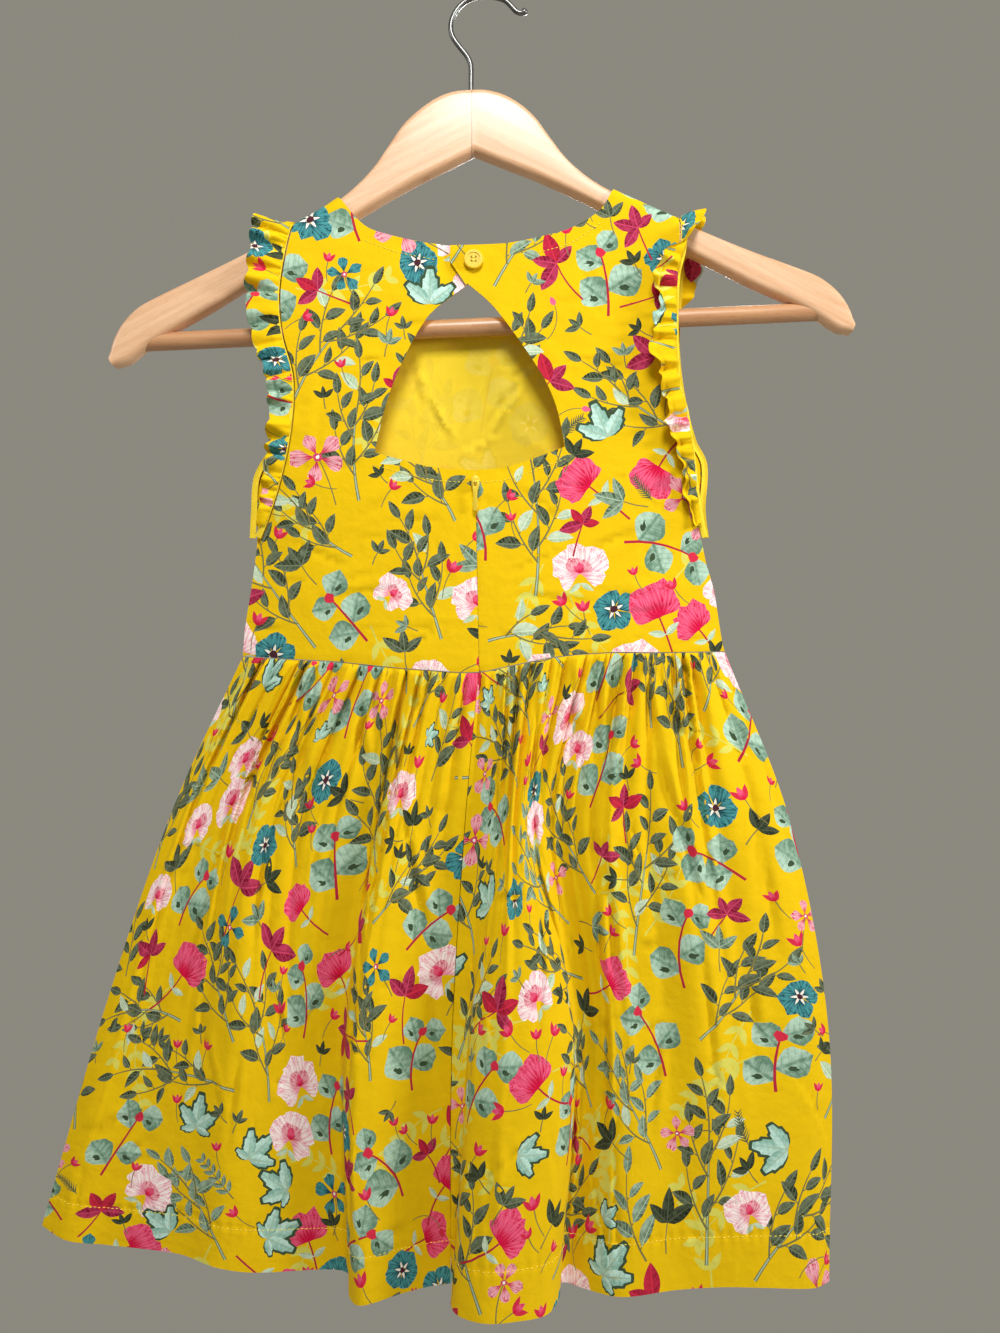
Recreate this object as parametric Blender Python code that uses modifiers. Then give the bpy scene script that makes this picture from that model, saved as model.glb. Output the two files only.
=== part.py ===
"""A child's sleeveless sundress, hung on a wooden coat hanger and seen from its back.

Lengths are in millimetres until the meshes are made, in metres. The origin is the hanging point, under the
hook's arc. +Z is up, the back of the dress faces -Y, and the front faces +Y.
"""

from bisect import bisect_right
from collections import namedtuple
from math import cos, hypot, pi, radians, sin

import bmesh
import bpy
from mathutils import Matrix, Vector
from mathutils.geometry import delaunay_2d_cdt

MM = 0.001

Point = namedtuple("Point", "x z")

# Cloth
CLOTH = 1.2
SEAM_GAP = 0.3
LAYER_STEP = CLOTH + SEAM_GAP
EDGE_Y = (CLOTH + SEAM_GAP) / 2

# Hanger, in its own frame: the origin is the top of the arms, where the hook goes in
HANGER_TOP = Vector((-8.0, 0.0, -55.2))
HANGER_TILT = radians(2.6)
ARM_THICK = 12.4
ARM_EDGE_RADIUS = 4.0
BAR_RADIUS = 5.3
BAR_Z = -139.0
BAR_SOCKET_X = 201.0
WIRE_RADIUS = 1.5
HOOK_DEPTH = 18.0
FIT_GAP = 0.3

# The arms' edges from the middle out and back: the left arm's curve is a little fuller than the right one's
ArmRow = namedtuple("ArmRow", "right left z")
ARM_TOP = [
    ArmRow(0, 0, 0),
    ArmRow(9, -11, -0.6),
    ArmRow(19, -21, -3.9),
    ArmRow(28.5, -31, -10),
    ArmRow(36.5, -40.5, -18),
    ArmRow(44.5, -49.8, -30),
    ArmRow(53, -59, -42.3),
    ArmRow(63, -69, -52.3),
    ArmRow(75, -80.5, -61),
    ArmRow(102, -106, -75),
    ArmRow(130, -133.5, -88.5),
    ArmRow(158, -163, -101.5),
    ArmRow(186, -190, -113.2),
    ArmRow(199.5, -202.5, -119.5),
    ArmRow(209.5, -211.5, -128),
    ArmRow(216, -217.5, -138),
    ArmRow(219, -220.5, -148),
]
ARM_UNDER = [
    ArmRow(217, -218.5, -153),
    ArmRow(209, -210, -151.5),
    ArmRow(197, -198, -143),
    ArmRow(184, -184, -134.8),
    ArmRow(161, -161, -123.3),
    ArmRow(139, -139, -111),
    ArmRow(105, -105, -92),
    ArmRow(69, -69, -70.5),
    ArmRow(37, -37, -54),
    ArmRow(18, -18, -45.5),
    ArmRow(0, 0, -37.4),
]

# The hook's wire, its middle line from inside the wood to the ball at its end
HookPoint = namedtuple("HookPoint", "x z size")
HOOK_SHANK_X = -8.5
HOOK = [
    HookPoint(HOOK_SHANK_X, -48, 1),
    HookPoint(HOOK_SHANK_X, -42, 1),
    HookPoint(-8.9, -38, 1),
    HookPoint(-11.2, -33.4, 1),
    HookPoint(-15.4, -28.2, 1),
    HookPoint(-19.2, -22.6, 1),
    HookPoint(-20.6, -17.4, 1),
    HookPoint(-19.6, -11.4, 1),
    HookPoint(-16.4, -5.6, 1),
    HookPoint(-11.4, -1.2, 1),
    HookPoint(-5.4, 1.1, 1),
    HookPoint(0, WIRE_RADIUS, 1),
    HookPoint(6.4, 1.0, 1),
    HookPoint(11.8, -0.9, 1),
    HookPoint(15.2, -4.0, 1),
    HookPoint(18.2, -7.2, 1),
    HookPoint(20.8, -8.2, 1),
    HookPoint(22.4, -7.8, 1.25),
    HookPoint(23.6, -7.1, 1.25),
    HookPoint(24.4, -6.5, 0.6),
]

# Where the shoulders pass over the arms: a squared round, clear of the wood's edges
WRAP = 8.1
WRAP_DROP = 6.6
WRAP_LENGTH = 1.7 * WRAP

# The body of the dress from side seam to side seam, one row for each height
BodyRow = namedtuple("BodyRow", "z left right back front edge")
BODY = [
    BodyRow(-90, -112, 114, 8.1, 8.1, 8.1),
    BodyRow(-135, -112, 114, 8.3, 8.2, 8.1),
    BodyRow(-200, -120, 113, 9.5, 8.8, 8.4),
    BodyRow(-262, -127, 122, 12.0, 10.0, 6.6),
    BodyRow(-300, -135, 129, 13.6, 10.8, 3.6),
    BodyRow(-327, -135.5, 129, 14.8, 11.2, EDGE_Y),
    BodyRow(-350, -138.5, 135, 15.8, 11.6, EDGE_Y),
    BodyRow(-372, -142, 138.5, 16.6, 12.0, EDGE_Y),
    BodyRow(-390, -143.5, 141.5, 17.2, 12.4, EDGE_Y),
]
BODY_ROUND = 2.6
SIDE_TOP_Z = -327

# Outlines of the bodice pieces, as seen flat from the back
WAIST = [
    Point(-144, -389),
    Point(-110, -391),
    Point(-86, -392.3),
    Point(-60, -395),
    Point(-31, -397.4),
    Point(-5, -398.4),
    Point(15, -394.6),
    Point(42, -389.4),
    Point(72, -387),
    Point(97, -387),
    Point(142, -386.2),
]
NECK_LEFT_X = -89.3
NECK_RIGHT_X = 77.2
SHOULDER_LEFT_X = -110
SHOULDER_RIGHT_X = 113
NECK_BACK_LEFT = [Point(-70.8, -137), Point(-54, -143.2), Point(-32, -147.8), Point(-15, -148.7)]
NECK_BACK_RIGHT = [Point(68, -127), Point(51.7, -138), Point(33, -143.6), Point(14, -147.4),
                   Point(-4, -148.5)]
NAPE_LAP_X = -20.5
NAPE_LAP_Z = -158.5
UNDERLAP_X = 5.0
UNDERLAP_Z = -163.0
UNDERLAP_STEP = LAYER_STEP * 1.3
UNDERLAP_START = 9.0
UNDERLAP_RUN = 8.0
UNDERLAP_BELOW_APEX = 14.0
UNDERLAP_FADE = 12.0
APEX = Point(-10.3, -171.4)
CUT_LEFT = [Point(-21, -179.7), Point(-32, -189), Point(-39.5, -200), Point(-46.7, -214), Point(-54, -231),
            Point(-59.6, -249)]
CUT_LEFT_CORNER = Point(-64.2, -270.6)
CUT_RIGHT = [Point(2.4, -182.3), Point(11.5, -193.2), Point(20.8, -206.2), Point(29.6, -219.3),
             Point(37, -232.4), Point(42.3, -247)]
CUT_RIGHT_CORNER = Point(46.2, -267.2)
CUT_FLOOR_LEFT = [Point(-49.6, -274.7), Point(-30, -279.4)]
CUT_FLOOR_RIGHT = [Point(29.6, -273.6), Point(12, -279.2)]
CENTRE_TOP = Point(-5.8, -281)
CENTRE_WAIST_X = -3.4
ARMHOLE_LEFT = [Point(-116, -152), Point(-119.6, -177), Point(-118, -200), Point(-111.4, -226),
                Point(-112.6, -256), Point(-119, -286), Point(-128, -312)]
ARMHOLE_RIGHT = [Point(113.4, -148), Point(109.4, -166), Point(108.3, -197), Point(110, -230),
                 Point(114.4, -246), Point(118.6, -272), Point(122.4, -300)]
ARMHOLE_FRONT_LEFT = [Point(-116, -155), Point(-119, -180), Point(-118, -206), Point(-120, -236),
                      Point(-125.5, -266), Point(-133.8, -282.5), Point(-135, -304)]
ARMHOLE_FRONT_RIGHT = [Point(114.5, -150), Point(113, -176), Point(112, -206), Point(115.5, -236),
                       Point(122, -262), Point(128, -275), Point(126.5, -302)]
NECK_FRONT = [Point(-84, -150), Point(-72, -172), Point(-48, -192), Point(-8, -199.5), Point(30, -195.5),
              Point(57, -174), Point(71, -146)]

# The skirt from seam to seam, one row for each fold line: how far across the cloth it runs, and where it
# lies at the hip, half way down and at the hem. near is how far it stands out from the dress's middle.
FoldRow = namedtuple("FoldRow", "share hip_x hip_near mid_x mid_near hem_x hem_near hem_z")
BACK_FOLDS = [
    FoldRow(0.000, -185, 0.75, -224, 0.75, -262, 0.75, -725),
    FoldRow(0.028, -178, 5, -214, 5, -246, 6, -731),
    FoldRow(0.065, -167, 7, -199, 5, -225, 4, -734.5),
    FoldRow(0.145, -143, 13, -162, 12, -178, 10, -737),
    FoldRow(0.185, -130, 17, -143, 18, -155, 17, -741),
    FoldRow(0.222, -119, 13, -126, 14, -134, 15, -745),
    FoldRow(0.299, -86, 14, -97, 10, -92, 7, -747.5),
    FoldRow(0.330, -67, 13, -84, 9, -80, 6, -751),
    FoldRow(0.359, -62, 19, -79, 21, -78, 18, -757),
    FoldRow(0.385, -55, 23, -71, 28, -70, 29, -756),
    FoldRow(0.424, -42, 19, -52, 22, -49, 21, -754),
    FoldRow(0.464, -26, 16, -33, 16, -32, 13, -754),
    FoldRow(0.492, -11, 16, -18, 15, -19, 11, -753.5),
    FoldRow(0.508, -3, 17, -11, 18, -14, 14, -753),
    FoldRow(0.530, 3, 20, -8, 28, -19, 29, -753),
    FoldRow(0.553, 9, 25, -3, 37, -15, 43, -753),
    FoldRow(0.580, 14, 28, 9, 43, 0, 51, -753),
    FoldRow(0.611, 19, 29, 25, 43, 18, 49, -753),
    FoldRow(0.641, 24, 27, 40, 38, 34, 43, -753),
    FoldRow(0.671, 29, 22, 49, 28, 42, 29, -751.5),
    FoldRow(0.699, 35, 17, 52, 18, 42, 16, -751.5),
    FoldRow(0.722, 42, 15, 58, 13, 48, 11, -753),
    FoldRow(0.745, 51, 17, 65, 17, 57, 16, -753.5),
    FoldRow(0.785, 66, 23, 78, 23, 78, 23, -754.5),
    FoldRow(0.839, 92, 19, 104, 18, 110, 16, -754.5),
    FoldRow(0.881, 112, 22, 127, 21, 137, 14, -754),
    FoldRow(0.927, 135, 14, 155, 13, 164, 13, -755),
    FoldRow(0.972, 166, 8, 188, 8, 191, 9, -757.5),
    FoldRow(1.000, 180, 0.75, 203, 0.75, 203, 0.75, -758),
]
FRONT_FOLDS = [
    FoldRow(0.00, -185, 0.75, -224, 0.75, -262, 0.75, -725),
    FoldRow(0.06, -172, 6, -206, 6, -240, 7, -730),
    FoldRow(0.13, -146, 14, -174, 15, -203, 17, -735),
    FoldRow(0.20, -122, 11, -146, 8, -170, 8, -739),
    FoldRow(0.28, -93, 17, -112, 20, -130, 23, -742),
    FoldRow(0.35, -68, 13, -81, 10, -97, 9, -745),
    FoldRow(0.43, -39, 18, -46, 22, -56, 25, -748),
    FoldRow(0.50, -12, 13, -14, 10, -22, 9, -749),
    FoldRow(0.57, 14, 19, 20, 22, 14, 25, -750),
    FoldRow(0.65, 44, 13, 54, 11, 52, 10, -750.5),
    FoldRow(0.73, 74, 18, 88, 21, 88, 24, -751),
    FoldRow(0.80, 100, 12, 120, 9, 124, 9, -752),
    FoldRow(0.87, 128, 14, 150, 15, 154, 17, -753),
    FoldRow(0.94, 159, 6, 184, 6, 186, 7, -756),
    FoldRow(1.00, 180, 0.75, 203, 0.75, 203, 0.75, -758),
]
FOLD_DOWN = (0.0, 0.27, 0.61, 1.0)
SKIRT_CUT_WIDTH = 585.0
CENTRE_SHARE = 0.4895

# Gathers: how high the waves stand at each distance under the waist seam
GATHERS = 34
GatherRow = namedtuple("GatherRow", "down height")
GATHER_FADE = [GatherRow(0, 1.5), GatherRow(8, 2.1), GatherRow(26, 1.7), GatherRow(60, 1.2),
               GatherRow(120, 0.75), GatherRow(200, 0.3), GatherRow(280, 0.0)]
ZIP_FLAT = 0.07
ZIP_FLAT_LEFT = 0.35
HEM_DOWN = 355.0
LAST_FREE_DOWN = 300.0
SEAM_DOWN = 2.0

# Rows of the skirt's mesh: distance under the waist seam, points for each gather, and where they start
MeshRow = namedtuple("MeshRow", "down points start")
SKIRT_ROWS = [MeshRow(0, 4, 0.5), MeshRow(SEAM_DOWN, 4, 0.5), MeshRow(15, 4, 0.5), MeshRow(36, 2, 0.5),
              MeshRow(66, 2, 0.5), MeshRow(108, 2, 0.5), MeshRow(160, 2, 0.5), MeshRow(220, 2, 0.5),
              MeshRow(285, 2, 0.5), MeshRow(HEM_DOWN, 2, 0.5)]

# Frills and bindings: one row for each place along the armhole, from the back's underarm over the shoulder
FrillRow = namedtuple("FrillRow", "share width turned")
FRILL_LEFT = [FrillRow(0, 5, 0.1), FrillRow(0.12, 12, 0.1), FrillRow(0.3, 16, 0), FrillRow(0.42, 19, 0),
              FrillRow(0.5, 21, 0), FrillRow(0.62, 16, 0.4), FrillRow(0.75, 13, 1), FrillRow(0.9, 10, 1),
              FrillRow(1, 5, 1)]
FRILL_RIGHT = [FrillRow(0, 5, 1), FrillRow(0.12, 13, 1), FrillRow(0.3, 16, 1), FrillRow(0.42, 14, 0.85),
               FrillRow(0.5, 14, 0), FrillRow(0.6, 15, 0.1), FrillRow(0.7, 13, 0.9), FrillRow(0.82, 12, 1),
               FrillRow(0.9, 10, 1), FrillRow(1, 5, 1)]
FRILL_WAVES = 32
FRILL_POINTS = 4
FRILL_ACROSS = (0.0, 0.45, 1.0)
FRILL_START = 16.0
FRILL_OUT = 1.4
FRILL_UP = LAYER_STEP + 0.7
FRILL_LEAN = 12.0
FRILL_TURN = 132.0
FRILL_RISE = 0.22
FRILL_RISE_TURNED = 0.1
FRILL_ROLL = 2.2
FRILL_ROOT_WAVE = 0.4
FRILL_EDGE_WAVE = 2.6
BINDING_WIDTH = 3.6
BINDING_STATIONS = 60

# Closures
BUTTON_RADIUS = 5.7
BUTTON_THICK = 2.4
BUTTON_PLACE = Point(-6.8, -157.8)
BUTTON_HOLE_RADIUS = 0.8
BUTTON_HOLE_OUT = 1.5
ZIP_TAPE_WIDTH = 9.0
ZIP_TAPE_APART = 1.0
ZIP_TAPE_ROOM = 3.0
ZIP_TAPE_ROWS = 10
SLIDER_Z = -289.0
SLIDER_SIZE = Vector((4.6, 1.8, 8.0))
LOOP_WIDE = 1.4
LOOP_HOLE_RADIUS = 0.8
LOOP_WALL = 0.8
PULL_WIDTH = 3.2
PULL_THICK = 0.9
PULL_LENGTH = 17.0
PULL_EYE = 2.6

# Mesh density of the bodice panels
BACK_STEP = 15.0
FRONT_STEP = 18.0
EDGE_STEP = 10.0
NAPE_STEP = 6.0
SHOULDER_ROWS = 5
NAPE_BOX = (-34.0, 5.5, -187.0, -148.0)

# The lining ends just under the hanger's arms, and short of the side seams
LINING_UNDER_ARM = 33.0
LINING_SIDE_ROOM = 7.0
LINING_ROOM_FROM = -292.0
LINING_ROOM_FADE = 30.0

Finish = namedtuple("Finish", "colour roughness metallic")
PRINTED = Finish((0.86, 0.66, 0.02), 0.85, 0.0)
PLAIN = Finish((0.80, 0.60, 0.05), 0.85, 0.0)
WOOD = Finish((0.78, 0.52, 0.30), 0.4, 0.0)
STEEL = Finish((0.55, 0.55, 0.55), 0.3, 1.0)
YELLOW_METAL = Finish((0.80, 0.60, 0.05), 0.4, 0.2)
BUTTON_PLASTIC = Finish((0.80, 0.62, 0.05), 0.35, 0.0)


def clear_scene():
    for old in list(bpy.data.objects):
        bpy.data.objects.remove(old, do_unlink=True)


def through(places, values, at):
    """The value at a place on a smooth line through the points, with slopes taken from the neighbours."""
    last = len(places) - 1
    i = max(0, min(bisect_right(places, at) - 1, last - 1))
    run = places[i + 1] - places[i]
    t = min(max((at - places[i]) / run, 0.0), 1.0)

    def slope(k):
        before, after = max(k - 1, 0), min(k + 1, last)
        return (values[after] - values[before]) / (places[after] - places[before])

    rise = values[i + 1] - values[i]
    start, end = slope(i) * run, slope(i + 1) * run
    bend = t * t * (3 * rise - 2 * start - end) + t * t * t * (start + end - 2 * rise)
    return values[i] + t * start + bend


def column(rows, name):
    return [getattr(row, name) for row in rows]


def table(rows, key, name, at):
    return through(column(rows, key), column(rows, name), at)


def smooth_line(points, step):
    """Points about a step apart on a smooth line through the given ones."""
    along = [0.0]
    for a, b in zip(points, points[1:]):
        along.append(along[-1] + hypot(b[0] - a[0], b[1] - a[1]))
    count = max(1, round(along[-1] / step))
    places = [along[-1] * i / count for i in range(count + 1)]
    xs, zs = [p[0] for p in points], [p[1] for p in points]
    return [(through(along, xs, at), through(along, zs, at)) for at in places]


# Hanger shape

def hanger_to_world():
    return Matrix.Translation(HANGER_TOP) @ Matrix.Rotation(-HANGER_TILT, 4, "Y")


def arm_outline():
    rows = ARM_TOP + ARM_UNDER
    right = [Point(row.right, row.z) for row in rows]
    left = [Point(row.left, row.z) for row in reversed(rows) if row.left]
    return right + left


def arm_top_line():
    """The arms' upper edge in world X and Z, from left to right."""
    left = [(row.left, row.z) for row in reversed(ARM_TOP) if row.left]
    right = [(row.right, row.z) for row in ARM_TOP]
    placed = [hanger_to_world() @ Vector((x, 0, z)) for x, z in left + right]
    return [Point(p.x, p.z) for p in placed]


ARM_LINE = arm_top_line()


def arm_top(x):
    return table(ARM_LINE, "x", "z", x)


# Dress shape

def body_row(z):
    """The body's row at a height, read smoothly from its table."""
    heights = [-row.z for row in BODY]
    return BodyRow(z, *[through(heights, column(BODY, name), -z) for name in BodyRow._fields[1:]])


def lens(x, z, depth_name):
    """How far a panel of the bodice stands from the middle plane."""
    row = body_row(z)
    middle, half = (row.left + row.right) / 2, (row.right - row.left) / 2
    out = min(abs(x - middle) / half, 1.0)
    depth = getattr(row, depth_name)
    return row.edge + (depth - row.edge) * (1 - out**BODY_ROUND)


def shoulder_height(x):
    """The flat height at which a panel meets the shoulder seam."""
    return arm_top(x) - WRAP_DROP + WRAP_LENGTH


def bodice_form(x, height, side, lift=0.0):
    """A point of a bodice panel. side is -1 for the back and 1 for the front, and lift moves it outwards."""
    foot = arm_top(x) - WRAP_DROP
    name = "back" if side < 0 else "front"
    if height <= foot:
        return Vector((x, side * (lens(x, height, name) + lift), height))
    angle = min((height - foot) / WRAP_LENGTH, 1.0) * pi / 2
    reach = WRAP / (cos(angle) ** 3 + sin(angle) ** 3) ** (1 / 3) + lift
    wide = lens(x, height, name) / WRAP
    return Vector((x, side * reach * cos(angle) * wide, foot + reach * sin(angle)))


def back_form(x, height):
    return bodice_form(x, height, -1)


def front_form(x, height):
    return bodice_form(x, height, 1)


def lining_form(x, height):
    return bodice_form(x, height, 1, -LAYER_STEP)


def under_lap(x, height):
    """How far the left back steps in, under the right one, at the nape."""
    across = min(max((x - NAPE_LAP_X + UNDERLAP_START) / UNDERLAP_RUN, 0.0), 1.0)
    fade = min(max((height - APEX.z + UNDERLAP_BELOW_APEX) / UNDERLAP_FADE, 0.0), 1.0)
    return UNDERLAP_STEP * across * across * (3 - 2 * across) * fade


def back_left_form(x, height):
    return bodice_form(x, height, -1, -under_lap(x, height))


def waist_z(x):
    return table(WAIST, "x", "z", x)


def gather_wave(share, down, flat_at):
    height = table(GATHER_FADE, "down", "height", min(down, GATHER_FADE[-1].down))
    ease = 1.0
    if flat_at is not None:
        ease = min(1.0, ZIP_FLAT_LEFT + (1 - ZIP_FLAT_LEFT) * abs(share - flat_at) / ZIP_FLAT)
    edge = min(1.0, min(share, 1 - share) * GATHERS)
    return height * ease * edge * sin(2 * pi * GATHERS * share)


def skirt_form(folds, side, share, down):
    """A point of a skirt panel, from its place across the cloth and its distance under the waist seam."""
    waist_row = body_row(BODY[-1].z)
    shares = column(folds, "share")
    waist_x = waist_row.left + (waist_row.right - waist_row.left) * share
    top = waist_z(waist_x)
    hem = through(shares, column(folds, "hem_z"), share)
    v = down / (top - hem) if down < LAST_FREE_DOWN else 1 - (HEM_DOWN - down) / (top - hem)
    waist_near = lens(waist_x, BODY[-1].z, "back" if side < 0 else "front")
    xs, nears = [waist_x], [waist_near]
    for level in ("hip", "mid", "hem"):
        xs.append(through(shares, column(folds, level + "_x"), share))
        nears.append(through(shares, column(folds, level + "_near"), share))
    x, near = through(FOLD_DOWN, xs, v), through(FOLD_DOWN, nears, v)
    if down < SEAM_DOWN:
        x, near = waist_x, waist_near
    flat_at = CENTRE_SHARE if side < 0 else None
    wave = gather_wave(share, down, flat_at) * min(1.0, near / 4)
    return Vector((x, side * max(near + wave, EDGE_Y), top - (top - hem) * v))


# Meshes

def collection(name):
    made = bpy.data.collections.new(name)
    bpy.context.scene.collection.children.link(made)
    return made


def material(name, finish):
    made = bpy.data.materials.new(name)
    made.use_nodes = True
    shader = made.node_tree.nodes["Principled BSDF"]
    shader.inputs["Base Color"].default_value = (*finish.colour, 1)
    shader.inputs["Roughness"].default_value = finish.roughness
    shader.inputs["Metallic"].default_value = finish.metallic
    return made


def put(name, mesh, finish, home):
    obj = bpy.data.objects.new(name, mesh)
    mesh.materials.append(material(name, finish))
    home.objects.link(obj)
    return obj


def mesh_of(name, points, faces):
    mesh = bpy.data.meshes.new(name)
    mesh.from_pydata([Vector(p) * MM for p in points], [], faces)
    mesh.update()
    return mesh


def thicken(obj):
    """Gives an open cloth surface its wall, half to each side."""
    wall = obj.modifiers.new("wall", "SOLIDIFY")
    wall.thickness = CLOTH * MM
    wall.offset = 0
    wall.use_even_offset = True
    wall.use_quality_normals = True


def inside(outline, x, z):
    hit = False
    for (ax, az), (bx, bz) in zip(outline, outline[1:] + outline[:1]):
        if (az > z) != (bz > z) and x < (bx - ax) * (z - az) / (bz - az) + ax:
            hit = not hit
    return hit


def clear_of(outline, x, z, room):
    for (ax, az), (bx, bz) in zip(outline, outline[1:] + outline[:1]):
        run = (bx - ax) ** 2 + (bz - az) ** 2
        t = min(max(((x - ax) * (bx - ax) + (z - az) * (bz - az)) / run, 0), 1)
        if hypot(x - ax - t * (bx - ax), z - az - t * (bz - az)) < room:
            return False
    return True


def filled(outline, inner):
    """The flat triangles inside an outline, with a corner at each inner point."""
    flat = [Vector(p) for p in outline + inner]
    edges = [(i, (i + 1) % len(outline)) for i in range(len(outline))]
    points, _, faces, *_ = delaunay_2d_cdt(flat, edges, [list(range(len(outline)))], 1, 1e-5)
    return [(p.x, p.y) for p in points], [tuple(face) for face in faces]


def lattice(outline, step, keep_out=()):
    """Points in staggered rows inside an outline, clear of it and of the points to keep out of."""
    xs, zs = [p[0] for p in outline], [p[1] for p in outline]
    found = []
    rows = int((max(zs) - min(zs)) / (step * 0.87)) + 1
    columns = int((max(xs) - min(xs)) / step) + 2
    for row in range(rows):
        z = min(zs) + step * 0.5 + row * step * 0.87
        for i in range(columns):
            x = min(xs) + (i + 0.5 * (row % 2)) * step
            crowded = any(hypot(x - px, z - pz) < step * 0.6 for px, pz in keep_out)
            if not crowded and inside(outline, x, z) and clear_of(outline, x, z, step * 0.55):
                found.append((x, z))
    return found


def shoulder_points(x_from, x_to):
    """Rows of points where a panel bends over the hanger's arm, square to the arm's slope."""
    count = max(2, round((x_to - x_from) / EDGE_STEP))
    xs = [x_from + (x_to - x_from) * (i + 0.5) / count for i in range(count)]
    step = WRAP_LENGTH / SHOULDER_ROWS
    found = []
    for x in xs:
        slope = (arm_top(x + 1) - arm_top(x - 1)) / 2
        for k in range(SHOULDER_ROWS):
            square_x = x - (k - SHOULDER_ROWS / 2) * step * slope / (1 + slope * slope)
            found.append((square_x, arm_top(square_x) - WRAP_DROP + step * k))
    return found


def nape_points(outline):
    """Close points where the left back steps in under the right one."""
    left, right, low, high = NAPE_BOX
    corner_box = [(left, low), (right, low), (right, high), (left, high)]
    near = lattice(corner_box, NAPE_STEP)
    return [p for p in near if inside(outline, *p) and clear_of(outline, *p, NAPE_STEP * 0.5)]


def close_at_shoulders(outline):
    """The outline with more points where it climbs over the hanger's arms."""
    closer = []
    step = WRAP_LENGTH / SHOULDER_ROWS
    for a, b in zip(outline, outline[1:] + outline[:1]):
        closer.append(a)
        climbs = max(a[1] - arm_top(a[0]), b[1] - arm_top(b[0])) > -WRAP_DROP
        along_seam = min(a[1] - shoulder_height(a[0]), b[1] - shoulder_height(b[0])) > -1
        if climbs and not along_seam:
            count = int(hypot(b[0] - a[0], b[1] - a[1]) / step) + 1
            shares = [i / count for i in range(1, count)]
            closer += [(a[0] + (b[0] - a[0]) * t, a[1] + (b[1] - a[1]) * t) for t in shares]
    return closer


def facing(faces, points, side):
    """The faces turned so that they look out of the dress, which is -Y on the back and +Y on the front."""
    turned = []
    for face in faces:
        a, b, c = (points[i] for i in face[:3])
        normal = (b[0] - a[0]) * (c[1] - a[1]) - (b[1] - a[1]) * (c[0] - a[0])
        turned.append(face if normal * -side > 0 else tuple(reversed(face)))
    return turned


def panel(name, outline, inner, form, side, finish, home):
    """A bodice piece: its outline filled with triangles and laid on its form."""
    flat, faces = filled(outline, inner)
    placed = [form(x, z) for x, z in flat]
    obj = put(name, mesh_of(name, placed, facing(faces, flat, side)), finish, home)
    thicken(obj)
    return obj


def shoulder_line(x_from, x_to):
    """The shoulder seam, flat, half a gap short of the seam."""
    count = max(2, round(abs(x_to - x_from) / EDGE_STEP))
    xs = [x_from + (x_to - x_from) * i / count for i in range(count + 1)]
    return [(x, shoulder_height(x) - SEAM_GAP) for x in xs]


def side_line(left):
    """The side seam from its top down to just above the waist."""
    name = "left" if left else "right"
    zs = [SIDE_TOP_Z, -342, -358, -374]
    line = [(getattr(body_row(z), name), z) for z in zs]
    foot = getattr(body_row(BODY[-1].z), name)
    return line + [(foot, waist_z(foot) + SEAM_GAP)]


def waist_line(x_from, x_to):
    count = max(2, round(abs(x_to - x_from) / EDGE_STEP))
    xs = [x_from + (x_to - x_from) * i / count for i in range(count + 1)]
    return [(x, waist_z(x) + SEAM_GAP) for x in xs]


def joined(*lines):
    """One outline from lines that meet, with points that fall together left out."""
    outline = []
    for line in lines:
        for p in line:
            if not outline or hypot(p[0] - outline[-1][0], p[1] - outline[-1][1]) > 0.8:
                outline.append((p[0], p[1]))
    if hypot(outline[0][0] - outline[-1][0], outline[0][1] - outline[-1][1]) <= 0.8:
        outline.pop()
    return outline


def back_left_outline():
    neck_top = (NECK_LEFT_X, shoulder_height(NECK_LEFT_X) - SEAM_GAP)
    shoulder_end = (SHOULDER_LEFT_X, shoulder_height(SHOULDER_LEFT_X) - SEAM_GAP)
    centre_top = (CENTRE_TOP.x - SEAM_GAP / 2, CENTRE_TOP.z)
    centre_foot = (CENTRE_WAIST_X - SEAM_GAP / 2, waist_z(CENTRE_WAIST_X) + SEAM_GAP)
    side = side_line(True)
    return joined(
        shoulder_line(SHOULDER_LEFT_X, NECK_LEFT_X),
        smooth_line([neck_top] + NECK_BACK_LEFT, EDGE_STEP),
        [(UNDERLAP_X, -148.6), (UNDERLAP_X, UNDERLAP_Z)],
        smooth_line([APEX] + CUT_LEFT + [CUT_LEFT_CORNER], EDGE_STEP),
        smooth_line([CUT_LEFT_CORNER] + CUT_FLOOR_LEFT + [centre_top], EDGE_STEP),
        smooth_line([centre_top, centre_foot], EDGE_STEP),
        waist_line(centre_foot[0], side[-1][0]),
        reversed(side),
        smooth_line([side[0]] + list(reversed(ARMHOLE_LEFT)) + [shoulder_end], EDGE_STEP),
    )


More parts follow.
